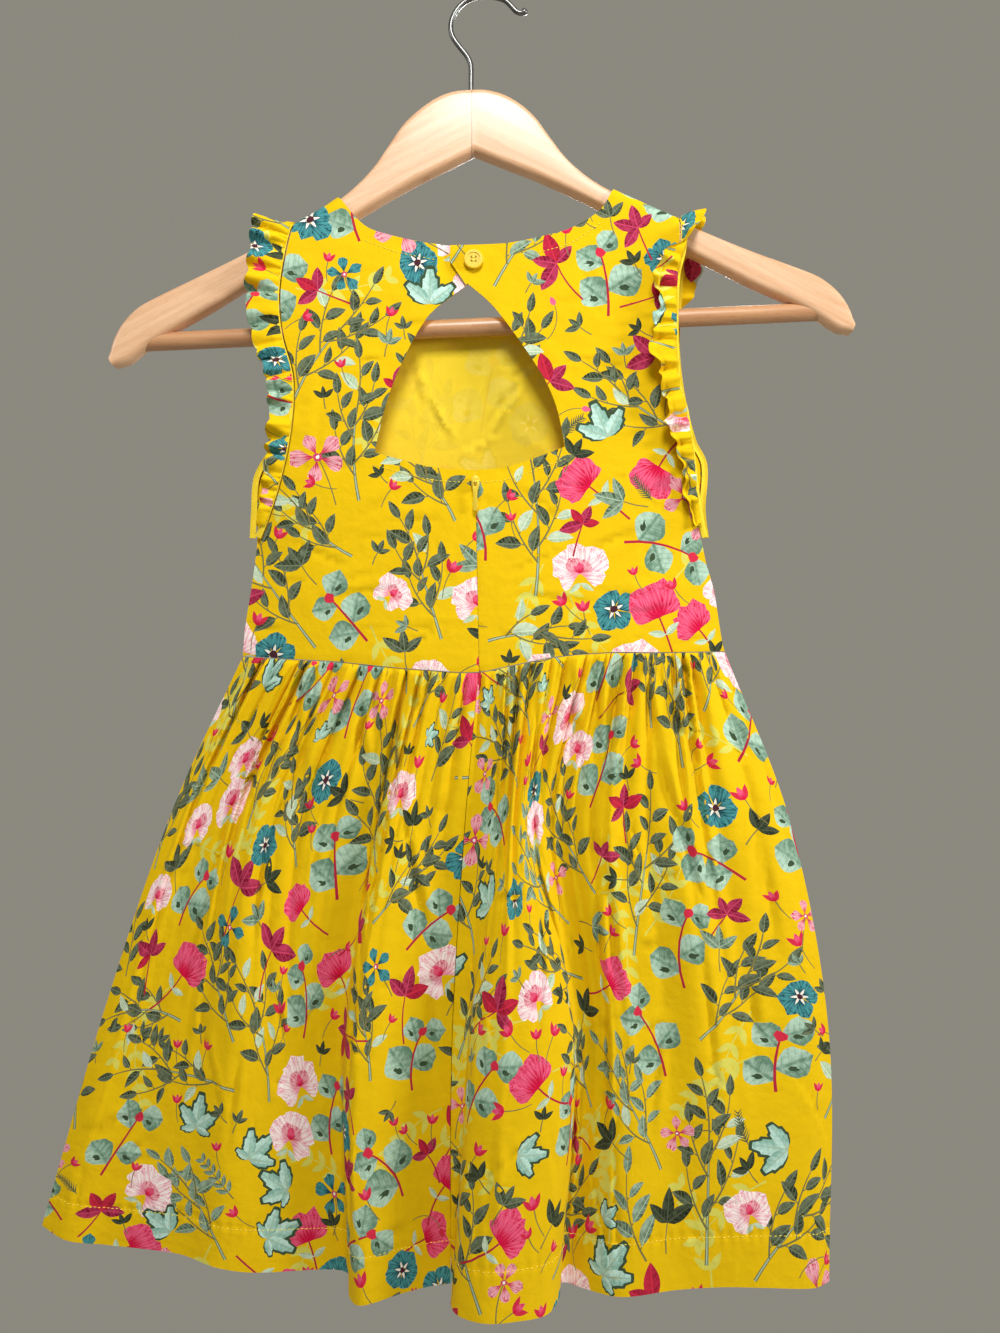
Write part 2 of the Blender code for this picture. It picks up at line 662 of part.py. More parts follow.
def back_right_outline():
    neck_top = (NECK_RIGHT_X, shoulder_height(NECK_RIGHT_X) - SEAM_GAP)
    shoulder_end = (SHOULDER_RIGHT_X, shoulder_height(SHOULDER_RIGHT_X) - SEAM_GAP)
    centre_top = (CENTRE_TOP.x + SEAM_GAP / 2, CENTRE_TOP.z)
    centre_foot = (CENTRE_WAIST_X + SEAM_GAP / 2, waist_z(CENTRE_WAIST_X) + SEAM_GAP)
    side = side_line(False)
    return joined(
        shoulder_line(SHOULDER_RIGHT_X, NECK_RIGHT_X),
        smooth_line([neck_top] + NECK_BACK_RIGHT, EDGE_STEP),
        [(NAPE_LAP_X, -148.9), (NAPE_LAP_X, NAPE_LAP_Z), (APEX.x - 1.0, APEX.z - 0.6)],
        smooth_line([APEX] + CUT_RIGHT + [CUT_RIGHT_CORNER], EDGE_STEP),
        smooth_line([CUT_RIGHT_CORNER] + CUT_FLOOR_RIGHT + [centre_top], EDGE_STEP),
        smooth_line([centre_top, centre_foot], EDGE_STEP),
        waist_line(centre_foot[0], side[-1][0]),
        reversed(side),
        smooth_line([side[0]] + list(reversed(ARMHOLE_RIGHT)) + [shoulder_end], EDGE_STEP),
    )


def front_outline():
    neck_left = (NECK_LEFT_X, shoulder_height(NECK_LEFT_X) - SEAM_GAP)
    neck_right = (NECK_RIGHT_X, shoulder_height(NECK_RIGHT_X) - SEAM_GAP)
    end_left = (SHOULDER_LEFT_X, shoulder_height(SHOULDER_LEFT_X) - SEAM_GAP)
    end_right = (SHOULDER_RIGHT_X, shoulder_height(SHOULDER_RIGHT_X) - SEAM_GAP)
    left, right = side_line(True), side_line(False)
    return joined(
        shoulder_line(SHOULDER_LEFT_X, NECK_LEFT_X),
        smooth_line([neck_left] + NECK_FRONT + [neck_right], EDGE_STEP),
        shoulder_line(NECK_RIGHT_X, SHOULDER_RIGHT_X),
        smooth_line([end_right] + ARMHOLE_FRONT_RIGHT + [right[0]], EDGE_STEP),
        right,
        waist_line(right[-1][0], left[-1][0]),
        reversed(left),
        smooth_line([left[0]] + list(reversed(ARMHOLE_FRONT_LEFT)) + [end_left], EDGE_STEP),
    )


def lining_cut(x):
    return arm_top(x) - LINING_UNDER_ARM


def lining_outline(front):
    """The front's own outline, ended under the hanger's arms and kept clear of the side seams."""
    kept = []
    for (ax, az), (bx, bz) in zip(front, front[1:] + front[:1]):
        above, next_above = az > lining_cut(ax), bz > lining_cut(bx)
        if not above:
            kept.append((ax, az))
        if above != next_above:
            low, high = ((bx, bz), (ax, az)) if above else ((ax, az), (bx, bz))
            rise = high[1] - low[1]
            part = (lining_cut(low[0]) - low[1]) / rise
            kept.append((low[0] + (high[0] - low[0]) * part, low[1] + rise * part))
    trimmed = []
    for x, z in kept:
        row = body_row(z)
        room = LINING_SIDE_ROOM * min(1.0, max(0.0, (LINING_ROOM_FROM - z) / LINING_ROOM_FADE))
        trimmed.append((min(max(x, row.left + room), row.right - room), z))
    return trimmed


def skirt_panel(name, folds, side, share_from, share_to, finish, home):
    """A skirt panel: rows of points across the cloth, close where it is gathered and wider apart below."""
    rows = []
    for row in SKIRT_ROWS:
        count = GATHERS * row.points
        shares = [(i + row.start) / count for i in range(count)]
        room = 0.4 / count
        kept = [s for s in shares if share_from + room < s < share_to - room]
        rows.append([(s, row.down) for s in [share_from] + kept + [share_to]])
    right_edge = [row[-1] for row in rows[1:-1]]
    left_edge = [row[0] for row in reversed(rows[1:-1])]
    round_it = rows[0] + right_edge + list(reversed(rows[-1])) + left_edge
    outline = [(s * SKIRT_CUT_WIDTH, -down) for s, down in round_it]
    inner = [(s * SKIRT_CUT_WIDTH, -down) for row in rows[1:-1] for s, down in row[1:-1]]
    flat, faces = filled(outline, inner)
    placed = [skirt_form(folds, side, s / SKIRT_CUT_WIDTH, -drop) for s, drop in flat]
    for p in placed:
        p.z -= SEAM_GAP
    obj = put(name, mesh_of(name, placed, facing(faces, flat, side)), finish, home)
    thicken(obj)
    return obj


# Armholes

Frame = namedtuple("Frame", "at out up share")


def armhole_path(back, front, left):
    """Points along an armhole's edge, flat, from the back's underarm over the shoulder to the front's."""
    end = SHOULDER_LEFT_X if left else SHOULDER_RIGHT_X
    top = (end, shoulder_height(end))
    under = side_line(left)[0]
    back_flat = smooth_line([under] + list(reversed(back)) + [top], 3.0)
    front_flat = smooth_line([top] + front + [under], 3.0)
    return [(x, z, -1) for x, z in back_flat] + [(x, z, 1) for x, z in front_flat[1:]]


def bodice_normal(x, height, side):
    """The way out of the body, square to a bodice panel."""
    here = bodice_form(x, height, side)
    along_x = bodice_form(x + 1, height, side) - bodice_form(x - 1, height, side)
    along_height = here - bodice_form(x, height - 1, side)
    normal = along_x.cross(along_height).normalized()
    return normal if normal.dot(Vector((0, here.y, 8))) > 0 else -normal


def armhole_frames(back, front, left, count, trim):
    """Even places along an armhole: the point, the way out of the armhole and the way out of the body."""
    path = armhole_path(back, front, left)
    placed = [bodice_form(*p) for p in path]
    normals = [bodice_normal(*p) for p in path]
    along = [0.0]
    for a, b in zip(placed, placed[1:]):
        along.append(along[-1] + (b - a).length)

    def at(vectors, place):
        return Vector([through(along, [v[k] for v in vectors], place) for k in range(3)])

    outward = Vector((-1 if left else 1, 0, 0))
    frames = []
    for i in range(count + 1):
        share = i / count
        place = trim + (along[-1] - 2 * trim) * share
        tangent = (at(placed, place + 4) - at(placed, place - 4)).normalized()
        rough_up = at(normals, place)
        up = (rough_up - tangent * rough_up.dot(tangent)).normalized()
        out = up.cross(tangent).normalized()
        if out.dot(outward) < 0:
            out = -out
        frames.append(Frame(at(placed, place), out, up, share))
    return frames


def strip(name, rows, finish, home):
    """A cloth strip from rows of points across it."""
    wide = len(rows[0])
    points = [p for row in rows for p in row]
    faces = []
    for i in range(len(rows) - 1):
        for j in range(wide - 1):
            a = i * wide + j
            faces.append((a, a + 1, a + wide + 1, a + wide))
    obj = put(name, mesh_of(name, points, faces), finish, home)
    thicken(obj)
    return obj


def binding(name, frames, finish, home):
    start = CLOTH / 2 + SEAM_GAP
    rows = [[f.at + f.out * start, f.at + f.out * (start + BINDING_WIDTH)] for f in frames]
    return strip(name, rows, finish, home)


def frill_point(frame, widths, across):
    """A point of a frill, across its width from 0 at the seam to 1 at the free edge."""
    width = table(widths, "share", "width", frame.share)
    turned = min(max(table(widths, "share", "turned", frame.share), 0.0), 1.0)
    taper = min(1.0, width / 12)
    swing = radians(FRILL_LEAN + FRILL_TURN * turned * min(1.0, across * 2.2))
    reach = width * across
    roll = FRILL_ROLL * turned * sin(pi * min(1.0, across * 1.4))
    out_step = FRILL_OUT + reach * cos(swing)
    up_step = FRILL_UP + reach * (FRILL_RISE + FRILL_RISE_TURNED * turned) + roll
    wave = (FRILL_ROOT_WAVE + (FRILL_EDGE_WAVE - FRILL_ROOT_WAVE) * across**0.7) * taper
    phase = 2 * pi * FRILL_WAVES * frame.share
    up_step += wave * sin(phase) + max(0.0, wave - 1.2) * turned
    out_step += 0.3 * wave * cos(phase) * across
    return frame.at + frame.out * out_step + frame.up * up_step


def frill(name, frames, widths, finish, home):
    rows = [[frill_point(f, widths, across) for across in FRILL_ACROSS] for f in frames]
    return strip(name, rows, finish, home)


# Closures

def blender_mesh(bm, name):
    mesh = bpy.data.meshes.new(name)
    bm.to_mesh(mesh)
    bm.free()
    return mesh


def flat_plate(name, outline, thick):
    """A plate cut to an outline in X and Z, half its thickness to each side."""
    bm = bmesh.new()
    flat = [bm.verts.new((x * MM, -thick / 2 * MM, z * MM)) for x, z in outline]
    face = bm.faces.new(flat)
    raised = bmesh.ops.extrude_face_region(bm, geom=[face])
    moved = [v for v in raised["geom"] if isinstance(v, bmesh.types.BMVert)]
    bmesh.ops.translate(bm, vec=(0, thick * MM, 0), verts=moved)
    bmesh.ops.recalc_face_normals(bm, faces=bm.faces)
    return blender_mesh(bm, name)


def lying_cylinder(radius, length, sides, centre, axis):
    """A closed cylinder about a centre, along the X or Y axis, in metres."""
    bm = bmesh.new()
    bmesh.ops.create_cone(bm, cap_ends=True, segments=sides, radius1=radius * MM, radius2=radius * MM,
                          depth=length * MM)
    turn = Matrix.Rotation(pi / 2, 4, "Y" if axis == "X" else "X")
    bmesh.ops.transform(bm, matrix=Matrix.Translation(centre * MM) @ turn, verts=bm.verts)
    return bm


def cutter(name, bm, home):
    obj = bpy.data.objects.new(name, blender_mesh(bm, name))
    obj.hide_render = True
    obj.display_type = "WIRE"
    home.objects.link(obj)
    return obj


def subtract(obj, other):
    cut = obj.modifiers.new(other.name, "BOOLEAN")
    cut.operation = "DIFFERENCE"
    cut.object = other


def unite(obj, other):
    join = obj.modifiers.new(other.name, "BOOLEAN")
    join.operation = "UNION"
    join.object = other


def make_button(home, cutters):
    skin = back_form(BUTTON_PLACE.x, BUTTON_PLACE.z).y
    middle = Vector((BUTTON_PLACE.x, skin - CLOTH / 2 - SEAM_GAP - BUTTON_THICK / 2, BUTTON_PLACE.z))
    bm = lying_cylinder(BUTTON_RADIUS, BUTTON_THICK, 24, middle, "Y")
    obj = put("button", blender_mesh(bm, "button"), BUTTON_PLASTIC, home)
    rim = obj.modifiers.new("rounded rim", "BEVEL")
    rim.width = 0.6 * MM
    rim.segments = 2
    rim.limit_method = "ANGLE"
    dish_place = middle + Vector((0, -BUTTON_THICK / 2, 0))
    dish = cutter("button_dish", lying_cylinder(BUTTON_RADIUS * 0.68, 0.9, 16, dish_place, "Y"), cutters)
    subtract(obj, dish)
    for i in range(4):
        turn = pi / 4 + i * pi / 2
        place = middle + Vector((cos(turn), 0, sin(turn))) * BUTTON_HOLE_OUT
        hole = cutter(f"button_hole_{i + 1}", lying_cylinder(BUTTON_HOLE_RADIUS, 6, 8, place, "Y"), cutters)
        subtract(obj, hole)
    return obj


def make_bodice(home):
    back_left = close_at_shoulders(back_left_outline())
    close = nape_points(back_left) + shoulder_points(SHOULDER_LEFT_X, NECK_LEFT_X)
    inner = close + lattice(back_left, BACK_STEP, close)
    panel("bodice_back_left", back_left, inner, back_left_form, -1, PRINTED, home)
    back_right = close_at_shoulders(back_right_outline())
    close = shoulder_points(NECK_RIGHT_X, SHOULDER_RIGHT_X)
    inner = close + lattice(back_right, BACK_STEP, close)
    panel("bodice_back_right", back_right, inner, back_form, -1, PRINTED, home)
    front = close_at_shoulders(front_outline())
    close = shoulder_points(SHOULDER_LEFT_X, NECK_LEFT_X) + shoulder_points(NECK_RIGHT_X, SHOULDER_RIGHT_X)
    inner = close + lattice(front, FRONT_STEP, close)
    panel("bodice_front", front, inner, front_form, 1, PRINTED, home)
    lining = lining_outline(front)
    under = [p for p in inner if inside(lining, *p) and clear_of(lining, *p, FRONT_STEP * 0.3)]
    panel("bodice_front_lining", lining, under, lining_form, 1, PLAIN, home)


def zip_tape(name, left, finish, home):
    """A zip tape inside the centre-back seam, from the cut-out's floor down to the waist seam."""
    way = -1 if left else 1
    inner, outer = way * ZIP_TAPE_APART / 2, way * (ZIP_TAPE_APART / 2 + ZIP_TAPE_WIDTH)
    rows = []
    waist = waist_z(CENTRE_WAIST_X)
    top, foot = CENTRE_TOP.z - ZIP_TAPE_ROOM, waist + ZIP_TAPE_ROOM
    for i in range(ZIP_TAPE_ROWS + 1):
        z = top + (foot - top) * i / ZIP_TAPE_ROWS
        share = (z - CENTRE_TOP.z) / (waist - CENTRE_TOP.z)
        middle = CENTRE_TOP.x + (CENTRE_WAIST_X - CENTRE_TOP.x) * share
        rows.append([bodice_form(middle + dx, z, -1, -LAYER_STEP) for dx in (inner, outer)])
    return strip(name, rows, finish, home)


def slider_places():
    share = (SLIDER_Z - CENTRE_TOP.z) / (waist_z(CENTRE_WAIST_X) - CENTRE_TOP.z)
    x = CENTRE_TOP.x + (CENTRE_WAIST_X - CENTRE_TOP.x) * share
    low = SLIDER_Z - SLIDER_SIZE.z / 2
    skin = bodice_form(x, low, -1).y - CLOTH / 2
    body = Vector((x, skin - 2 * SEAM_GAP - SLIDER_SIZE.y / 2, SLIDER_Z))
    pin = Vector((x, body.y - SLIDER_SIZE.y / 2 - LOOP_HOLE_RADIUS, SLIDER_Z + 0.6))
    return body, pin


def box(size, centre):
    bm = bmesh.new()
    bmesh.ops.create_cube(bm, size=1)
    grow = Matrix.Diagonal((*(size * MM), 1))
    bmesh.ops.transform(bm, matrix=Matrix.Translation(centre * MM) @ grow, verts=bm.verts)
    return bm


def make_slider(home, cutters):
    body, pin = slider_places()
    obj = put("zip_slider", blender_mesh(box(SLIDER_SIZE, body), "zip_slider"), YELLOW_METAL, home)
    soft = obj.modifiers.new("rounded", "BEVEL")
    soft.width = 0.6 * MM
    soft.segments = 2
    outer = LOOP_HOLE_RADIUS + LOOP_WALL
    loop = cutter("slider_loop", lying_cylinder(outer, LOOP_WIDE, 16, pin, "X"), cutters)
    unite(obj, loop)
    eye = cutter("slider_eye", lying_cylinder(LOOP_HOLE_RADIUS, 6, 16, pin, "X"), cutters)
    subtract(obj, eye)
    return obj


def make_pull(home):
    """The pull tab: a strip with a slot, whose cross pin lies in the slider's loop, with its origin there."""
    _, pin = slider_places()
    inner = LOOP_WIDE / 2 + FIT_GAP
    outer = PULL_WIDTH / 2
    outline = [
        (-outer, 0.0), (-outer * 0.9, -PULL_EYE - 2), (-outer * 0.72, -PULL_EYE - 6),
        (-outer, -PULL_LENGTH + 4),
        (-outer * 0.8, -PULL_LENGTH + 1), (-outer * 0.35, -PULL_LENGTH), (outer * 0.35, -PULL_LENGTH),
        (outer * 0.8, -PULL_LENGTH + 1), (outer, -PULL_LENGTH + 4), (outer * 0.72, -PULL_EYE - 6),
        (outer * 0.9, -PULL_EYE - 2), (outer, 0.0), (inner, 0.0), (inner, -PULL_EYE), (-inner, -PULL_EYE),
        (-inner, 0.0),
    ]
    obj = put("zip_pull", flat_plate("zip_pull", outline, PULL_THICK), YELLOW_METAL, home)
    obj.location = pin * MM
    return obj


def add_pull_pin(obj, home):
    pin = lying_cylinder(PULL_THICK / 2, PULL_WIDTH, 12, Vector((0, 0, 0)), "X")
    helper = cutter("pull_pin", pin, home)
    helper.location = obj.location
    unite(obj, helper)


# Hanger

def make_hanger_body(home, cutters):
    mesh = flat_plate("hanger_body", [(p.x, p.z) for p in arm_outline()], ARM_THICK)
    obj = put("hanger_body", mesh, WOOD, home)
    obj.matrix_world = in_metres(hanger_to_world())
    edge = obj.modifiers.new("rounded edges", "BEVEL")
    edge.width = ARM_EDGE_RADIUS * MM
    edge.segments = 2
    edge.limit_method = "ANGLE"
    edge.angle_limit = radians(60)
    length = 2 * (BAR_SOCKET_X + FIT_GAP)
    socket = lying_cylinder(BAR_RADIUS + FIT_GAP, length, 16, Vector((0, 0, BAR_Z)), "X")
    hole = cutter("bar_socket", socket, cutters)
    hole.matrix_world = obj.matrix_world
    subtract(obj, hole)
    bore = bmesh.new()
    bmesh.ops.create_cone(bore, cap_ends=True, segments=12, radius1=(WIRE_RADIUS + FIT_GAP) * MM,
                          radius2=(WIRE_RADIUS + FIT_GAP) * MM, depth=2 * HOOK_DEPTH * MM)
    drill = cutter("hook_bore", bore, cutters)
    drill.location = Vector((HOOK_SHANK_X, 0, HANGER_TOP.z)) * MM
    subtract(obj, drill)
    return obj


def in_metres(matrix):
    scaled = matrix.copy()
    scaled.translation = matrix.translation * MM
    return scaled


def make_bar(home):
    bm = lying_cylinder(BAR_RADIUS, 2 * BAR_SOCKET_X, 16, Vector((0, 0, BAR_Z)), "X")
    obj = put("hanger_bar", blender_mesh(bm, "hanger_bar"), WOOD, home)
    obj.matrix_world = in_metres(hanger_to_world())
    return obj


def make_hook(home):
    wire = bpy.data.curves.new("hanger_hook", "CURVE")
    wire.dimensions = "3D"
    wire.bevel_depth = WIRE_RADIUS * MM
    wire.bevel_resolution = 2
    wire.use_fill_caps = True
    line = wire.splines.new("POLY")
    inside_wood = HookPoint(HOOK_SHANK_X, HANGER_TOP.z - HOOK_DEPTH + 1, 1)
    stations = [inside_wood] + HOOK
    line.points.add(len(stations) - 1)
    for point, station in zip(line.points, stations):
        point.co = (station.x * MM, 0, station.z * MM, 1)
        point.radius = station.size
    obj = bpy.data.objects.new("hanger_hook", wire)
    wire.materials.append(material("hanger_hook", STEEL))
    home.objects.link(obj)
    return obj


def main():
    clear_scene()
    dress = collection("sundress_on_hanger")
    cutters = collection("cutters")
    make_bodice(dress)
    half_seam = SEAM_GAP * 1.5 / SKIRT_CUT_WIDTH
    skirt_panel("skirt_back_left", BACK_FOLDS, -1, 0.0, CENTRE_SHARE - half_seam, PRINTED, dress)
    skirt_panel("skirt_back_right", BACK_FOLDS, -1, CENTRE_SHARE + half_seam, 1.0, PRINTED, dress)
    skirt_panel("skirt_front", FRONT_FOLDS, 1, 0.0, 1.0, PRINTED, dress)
    left = (ARMHOLE_LEFT, ARMHOLE_FRONT_LEFT, True)
    right = (ARMHOLE_RIGHT, ARMHOLE_FRONT_RIGHT, False)
    for word, armhole, widths in (("left", left, FRILL_LEFT), ("right", right, FRILL_RIGHT)):
        binding(f"binding_{word}", armhole_frames(*armhole, BINDING_STATIONS, FRILL_START / 2), PLAIN, dress)
        frames = armhole_frames(*armhole, FRILL_WAVES * FRILL_POINTS, FRILL_START)
        frill(f"frill_{word}", frames, widths, PRINTED, dress)
    make_button(dress, cutters)
    zip_tape("zip_tape_left", True, PLAIN, dress)
    zip_tape("zip_tape_right", False, PLAIN, dress)
    make_slider(dress, cutters)
    add_pull_pin(make_pull(dress), cutters)
    make_hanger_body(dress, cutters)
    make_bar(dress)
    make_hook(dress)


main()
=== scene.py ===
"""Looks of a child's sundress hung on a wooden coat hanger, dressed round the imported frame.

Tables, flat sizes and forms are in millimetres, and meshes are made in metres. The origin is the hanging
point under the hook's arc. +Z is up, the back of the dress faces -Y and its front faces +Y. Every cloth piece
is drawn flat, as it is cut, with its print on it, and is then laid on the form that it hangs in.
"""

from __future__ import annotations

import logging
from dataclasses import dataclass, field
from enum import Enum
from typing import Callable, NamedTuple, Sequence

import bmesh
import bpy
import numpy as np
from mathutils import Matrix, Vector
from mathutils.geometry import delaunay_2d_cdt

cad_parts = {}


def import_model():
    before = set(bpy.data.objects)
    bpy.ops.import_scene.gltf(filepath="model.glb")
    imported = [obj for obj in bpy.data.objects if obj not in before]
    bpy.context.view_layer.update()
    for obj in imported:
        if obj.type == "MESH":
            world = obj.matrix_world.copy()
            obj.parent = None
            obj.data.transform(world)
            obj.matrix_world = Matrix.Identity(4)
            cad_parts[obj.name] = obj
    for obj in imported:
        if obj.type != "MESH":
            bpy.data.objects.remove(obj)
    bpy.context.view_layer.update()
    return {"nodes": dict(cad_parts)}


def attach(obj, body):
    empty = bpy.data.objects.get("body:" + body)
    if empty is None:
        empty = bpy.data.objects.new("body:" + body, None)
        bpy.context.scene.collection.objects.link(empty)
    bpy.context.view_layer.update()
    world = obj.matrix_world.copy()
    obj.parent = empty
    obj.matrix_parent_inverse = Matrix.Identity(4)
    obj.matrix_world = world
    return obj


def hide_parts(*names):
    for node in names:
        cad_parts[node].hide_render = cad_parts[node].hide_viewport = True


LOG = logging.getLogger("sundress")
MM = 0.001
GARMENT = "garment"

MATH = "ShaderNodeMath"
RANGE = "ShaderNodeMapRange"
NOISE = "ShaderNodeTexNoise"
MIX = "ShaderNodeMix"
VECTOR = "ShaderNodeVectorMath"

Array = np.ndarray
Material = bpy.types.Material
Line = list[tuple[float, float]]
FlatForm = Callable[[Array, Array], Array]


def through(places: Sequence[float], values: Sequence[float] | Sequence[Array], at: Array) -> Array:
    """Reads a smooth line through given points, with slopes taken from the neighbours.

    Args:
        places: Where the points lie, rising.
        values: The line's value at each of them, or a row of values with one for each place that is read.
        at: The places to read.

    Returns:
        The values there.
    """
    xs, ys, at = np.asarray(places, float), np.asarray(values, float), np.asarray(at, float)
    spans = (xs[2:] - xs[:-2]).reshape(-1, *[1] * (ys.ndim - 1))
    slopes = np.empty_like(ys)
    slopes[1:-1] = (ys[2:] - ys[:-2]) / spans
    slopes[0] = (ys[1] - ys[0]) / (xs[1] - xs[0])
    slopes[-1] = (ys[-1] - ys[-2]) / (xs[-1] - xs[-2])
    i = np.clip(np.searchsorted(xs, at, side="right") - 1, 0, len(xs) - 2)
    own = (np.arange(len(at)),) if ys.ndim > 1 else ()
    low, after = (i, *own), (i + 1, *own)
    run, rise = xs[i + 1] - xs[i], ys[after] - ys[low]
    t = np.clip((at - xs[i]) / run, 0.0, 1.0)
    start, end = slopes[low] * run, slopes[after] * run
    bend = t * t * (3 * rise - 2 * start - end) + t**3 * (start + end - 2 * rise)
    return ys[low] + t * start + bend


def rows_of(kind: type, *rows: Sequence) -> list:
    """A table, whose columns have the names that the kind of row gives them."""
    return [kind(*row) for row in rows]


def column(rows: Sequence[NamedTuple], name: str) -> list[float]:
    """One named column of a table."""
    return [getattr(row, name) for row in rows]


def table(rows: Sequence[NamedTuple], key: str, name: str, at: Array) -> Array:
    """Reads a table smoothly, one column by another."""
    return through(column(rows, key), column(rows, name), at)


def eased(share: Array) -> Array:
    """A smooth step from 0 to 1."""
    t = np.clip(share, 0.0, 1.0)
    return t * t * (3 - 2 * t)


def smooth_line(points: Sequence[Sequence[float]], step: float) -> Line:
    """Points about a step apart on a smooth flat line through the given ones."""
    given = np.array([(p[0], p[1]) for p in points], float)
    along = np.concatenate([[0.0], np.cumsum(np.hypot(*np.diff(given, axis=0).T))])
    at = np.linspace(0, along[-1], max(1, round(along[-1] / step)) + 1)
    return list(zip(through(along, given[:, 0], at), through(along, given[:, 1], at)))


class Point(NamedTuple):
    """A flat point."""

    x: float
    z: float


class ArmRow(NamedTuple):
    """How far out the hanger's right and left arm reach at a depth under its top."""

    right: float
    left: float
    z: float


class BodyRow(NamedTuple):
    """The bodice's section at a height."""

    z: float
    left: float
    right: float
    back: float
    front: float
    edge: float


class FoldRow(NamedTuple):
    """A fold line of the skirt: where it lies at the hip, half way down and at the hem."""

    share: float
    hip_x: float
    hip_near: float
    mid_x: float
    mid_near: float
    hem_x: float
    hem_near: float
    hem_z: float


class FrillRow(NamedTuple):
    """A frill's width, and how far it is turned back, at a place round the armhole."""

    share: float
    width: float
    turned: float


class CreaseRow(NamedTuple):
    """A soft trough: its middle on the flat cloth, direction, length, width and depth."""

    u: float
    v: float
    angle: float
    length: float
    width: float
    depth: float


CLOTH_GAP = 1.5
SEAM_GAP = 0.3
EDGE_Y = 0.75
CREASE_SHARE = 0.85
VALLEY_POINT = 1.25
RIDGE_PLACE = 1.5
RIDGE_HEIGHT = 0.6

ARM_TOP = rows_of(
    ArmRow,
    (0, 0, 0), (9, -11, -0.6), (19, -21, -3.9), (28.5, -31, -10), (36.5, -40.5, -18), (44.5, -49.8, -30),
    (53, -59, -42.3), (63, -69, -52.3), (75, -80.5, -61), (102, -106, -75), (130, -133.5, -88.5),
    (158, -163, -101.5), (186, -190, -113.2), (199.5, -202.5, -119.5), (209.5, -211.5, -128),
    (216, -217.5, -138), (219, -220.5, -148),
)
ARM_UNDER = rows_of(
    ArmRow,
    (217, -218.5, -153), (209, -210, -151.5), (197, -198, -143), (184, -184, -134.8), (161, -161, -123.3),
    (139, -139, -111), (105, -105, -92), (69, -69, -70.5), (37, -37, -54), (18, -18, -45.5), (0, 0, -37.4),
)
HANGER_TOP = Vector((-8.0, 0.0, -55.2))
HANGER_TILT = np.radians(2.6)

WRAP = 8.1
WRAP_DROP = 6.6
WRAP_LENGTH = 1.7 * WRAP

BODY = rows_of(
    BodyRow,
    (-90, -112, 114, 8.1, 8.1, 8.1), (-135, -112, 114, 8.3, 8.2, 8.1), (-200, -120, 113, 9.5, 8.8, 8.4),
    (-262, -127, 122, 12.0, 10.0, 6.6), (-300, -135, 129, 13.6, 10.8, 3.6),
    (-327, -135.5, 129, 14.8, 11.2, EDGE_Y), (-350, -138.5, 135, 15.8, 11.6, EDGE_Y),
    (-372, -142, 138.5, 16.6, 12.0, EDGE_Y), (-390, -143.5, 141.5, 17.2, 12.4, EDGE_Y),
)
BODY_ROUND = 2.6
SIDE_TOP_Z = -327

WAIST = rows_of(
    Point,
    (-144, -389), (-110, -391), (-86, -392.3), (-60, -395), (-31, -397.4), (-5, -398.4), (15, -394.6),
    (42, -389.4), (72, -387), (97, -387), (142, -386.2),
)
NECK_LEFT_X = -89.3
NECK_RIGHT_X = 77.2
SHOULDER_LEFT_X = -110
SHOULDER_RIGHT_X = 113
NECK_BACK_LEFT = rows_of(Point, (-70.8, -137), (-54, -143.2), (-32, -147.8), (-15, -148.7))
NECK_BACK_RIGHT = rows_of(
    Point,
    (68, -127), (51.7, -138), (33, -143.6), (14, -147.4), (-4, -148.5),
)
NAPE_LAP_X = -20.5
NAPE_LAP_Z = -158.5
UNDERLAP_X = 5.0
UNDERLAP_Z = -163.0
UNDERLAP_STEP = CLOTH_GAP * 1.3
UNDERLAP_START = 9.0
UNDERLAP_RUN = 8.0
UNDERLAP_BELOW_APEX = 14.0
UNDERLAP_FADE = 12.0
APEX = Point(-10.3, -171.4)
CUT_LEFT = rows_of(
    Point,
    (-21, -179.7), (-32, -189), (-39.5, -200), (-46.7, -214), (-54, -231), (-59.6, -249),
)
CUT_LEFT_CORNER = Point(-64.2, -270.6)
CUT_RIGHT = rows_of(
    Point,
    (2.4, -182.3), (11.5, -193.2), (20.8, -206.2), (29.6, -219.3), (37, -232.4), (42.3, -247),
)
CUT_RIGHT_CORNER = Point(46.2, -267.2)
CUT_FLOOR_LEFT = rows_of(Point, (-49.6, -274.7), (-30, -279.4))
CUT_FLOOR_RIGHT = rows_of(Point, (29.6, -273.6), (12, -279.2))
CENTRE_TOP = Point(-5.8, -281)
CENTRE_WAIST_X = -3.4
ARMHOLE_LEFT = rows_of(
    Point,
    (-116, -152), (-119.6, -177), (-118, -200), (-111.4, -226), (-112.6, -256), (-119, -286), (-128, -312),
)
ARMHOLE_RIGHT = rows_of(
    Point,
    (113.4, -148), (109.4, -166), (108.3, -197), (110, -230), (114.4, -246), (118.6, -272), (122.4, -300),
)
ARMHOLE_FRONT_LEFT = rows_of(
    Point,
    (-116, -155), (-119, -180), (-118, -206), (-120, -236), (-125.5, -266), (-133.8, -282.5), (-135, -304),
)
ARMHOLE_FRONT_RIGHT = rows_of(
    Point,
    (114.5, -150), (113, -176), (112, -206), (115.5, -236), (122, -262), (128, -275), (126.5, -302),
)
NECK_FRONT = rows_of(
    Point,
    (-84, -150), (-72, -171), (-48, -188.5), (-8, -194.5), (30, -191), (57, -173), (71, -146),
)
LINING_UNDER_ARM = 33.0
LINING_SIDE_ROOM = 7.0
LINING_ROOM_FROM = -292.0
LINING_ROOM_FADE = 30.0

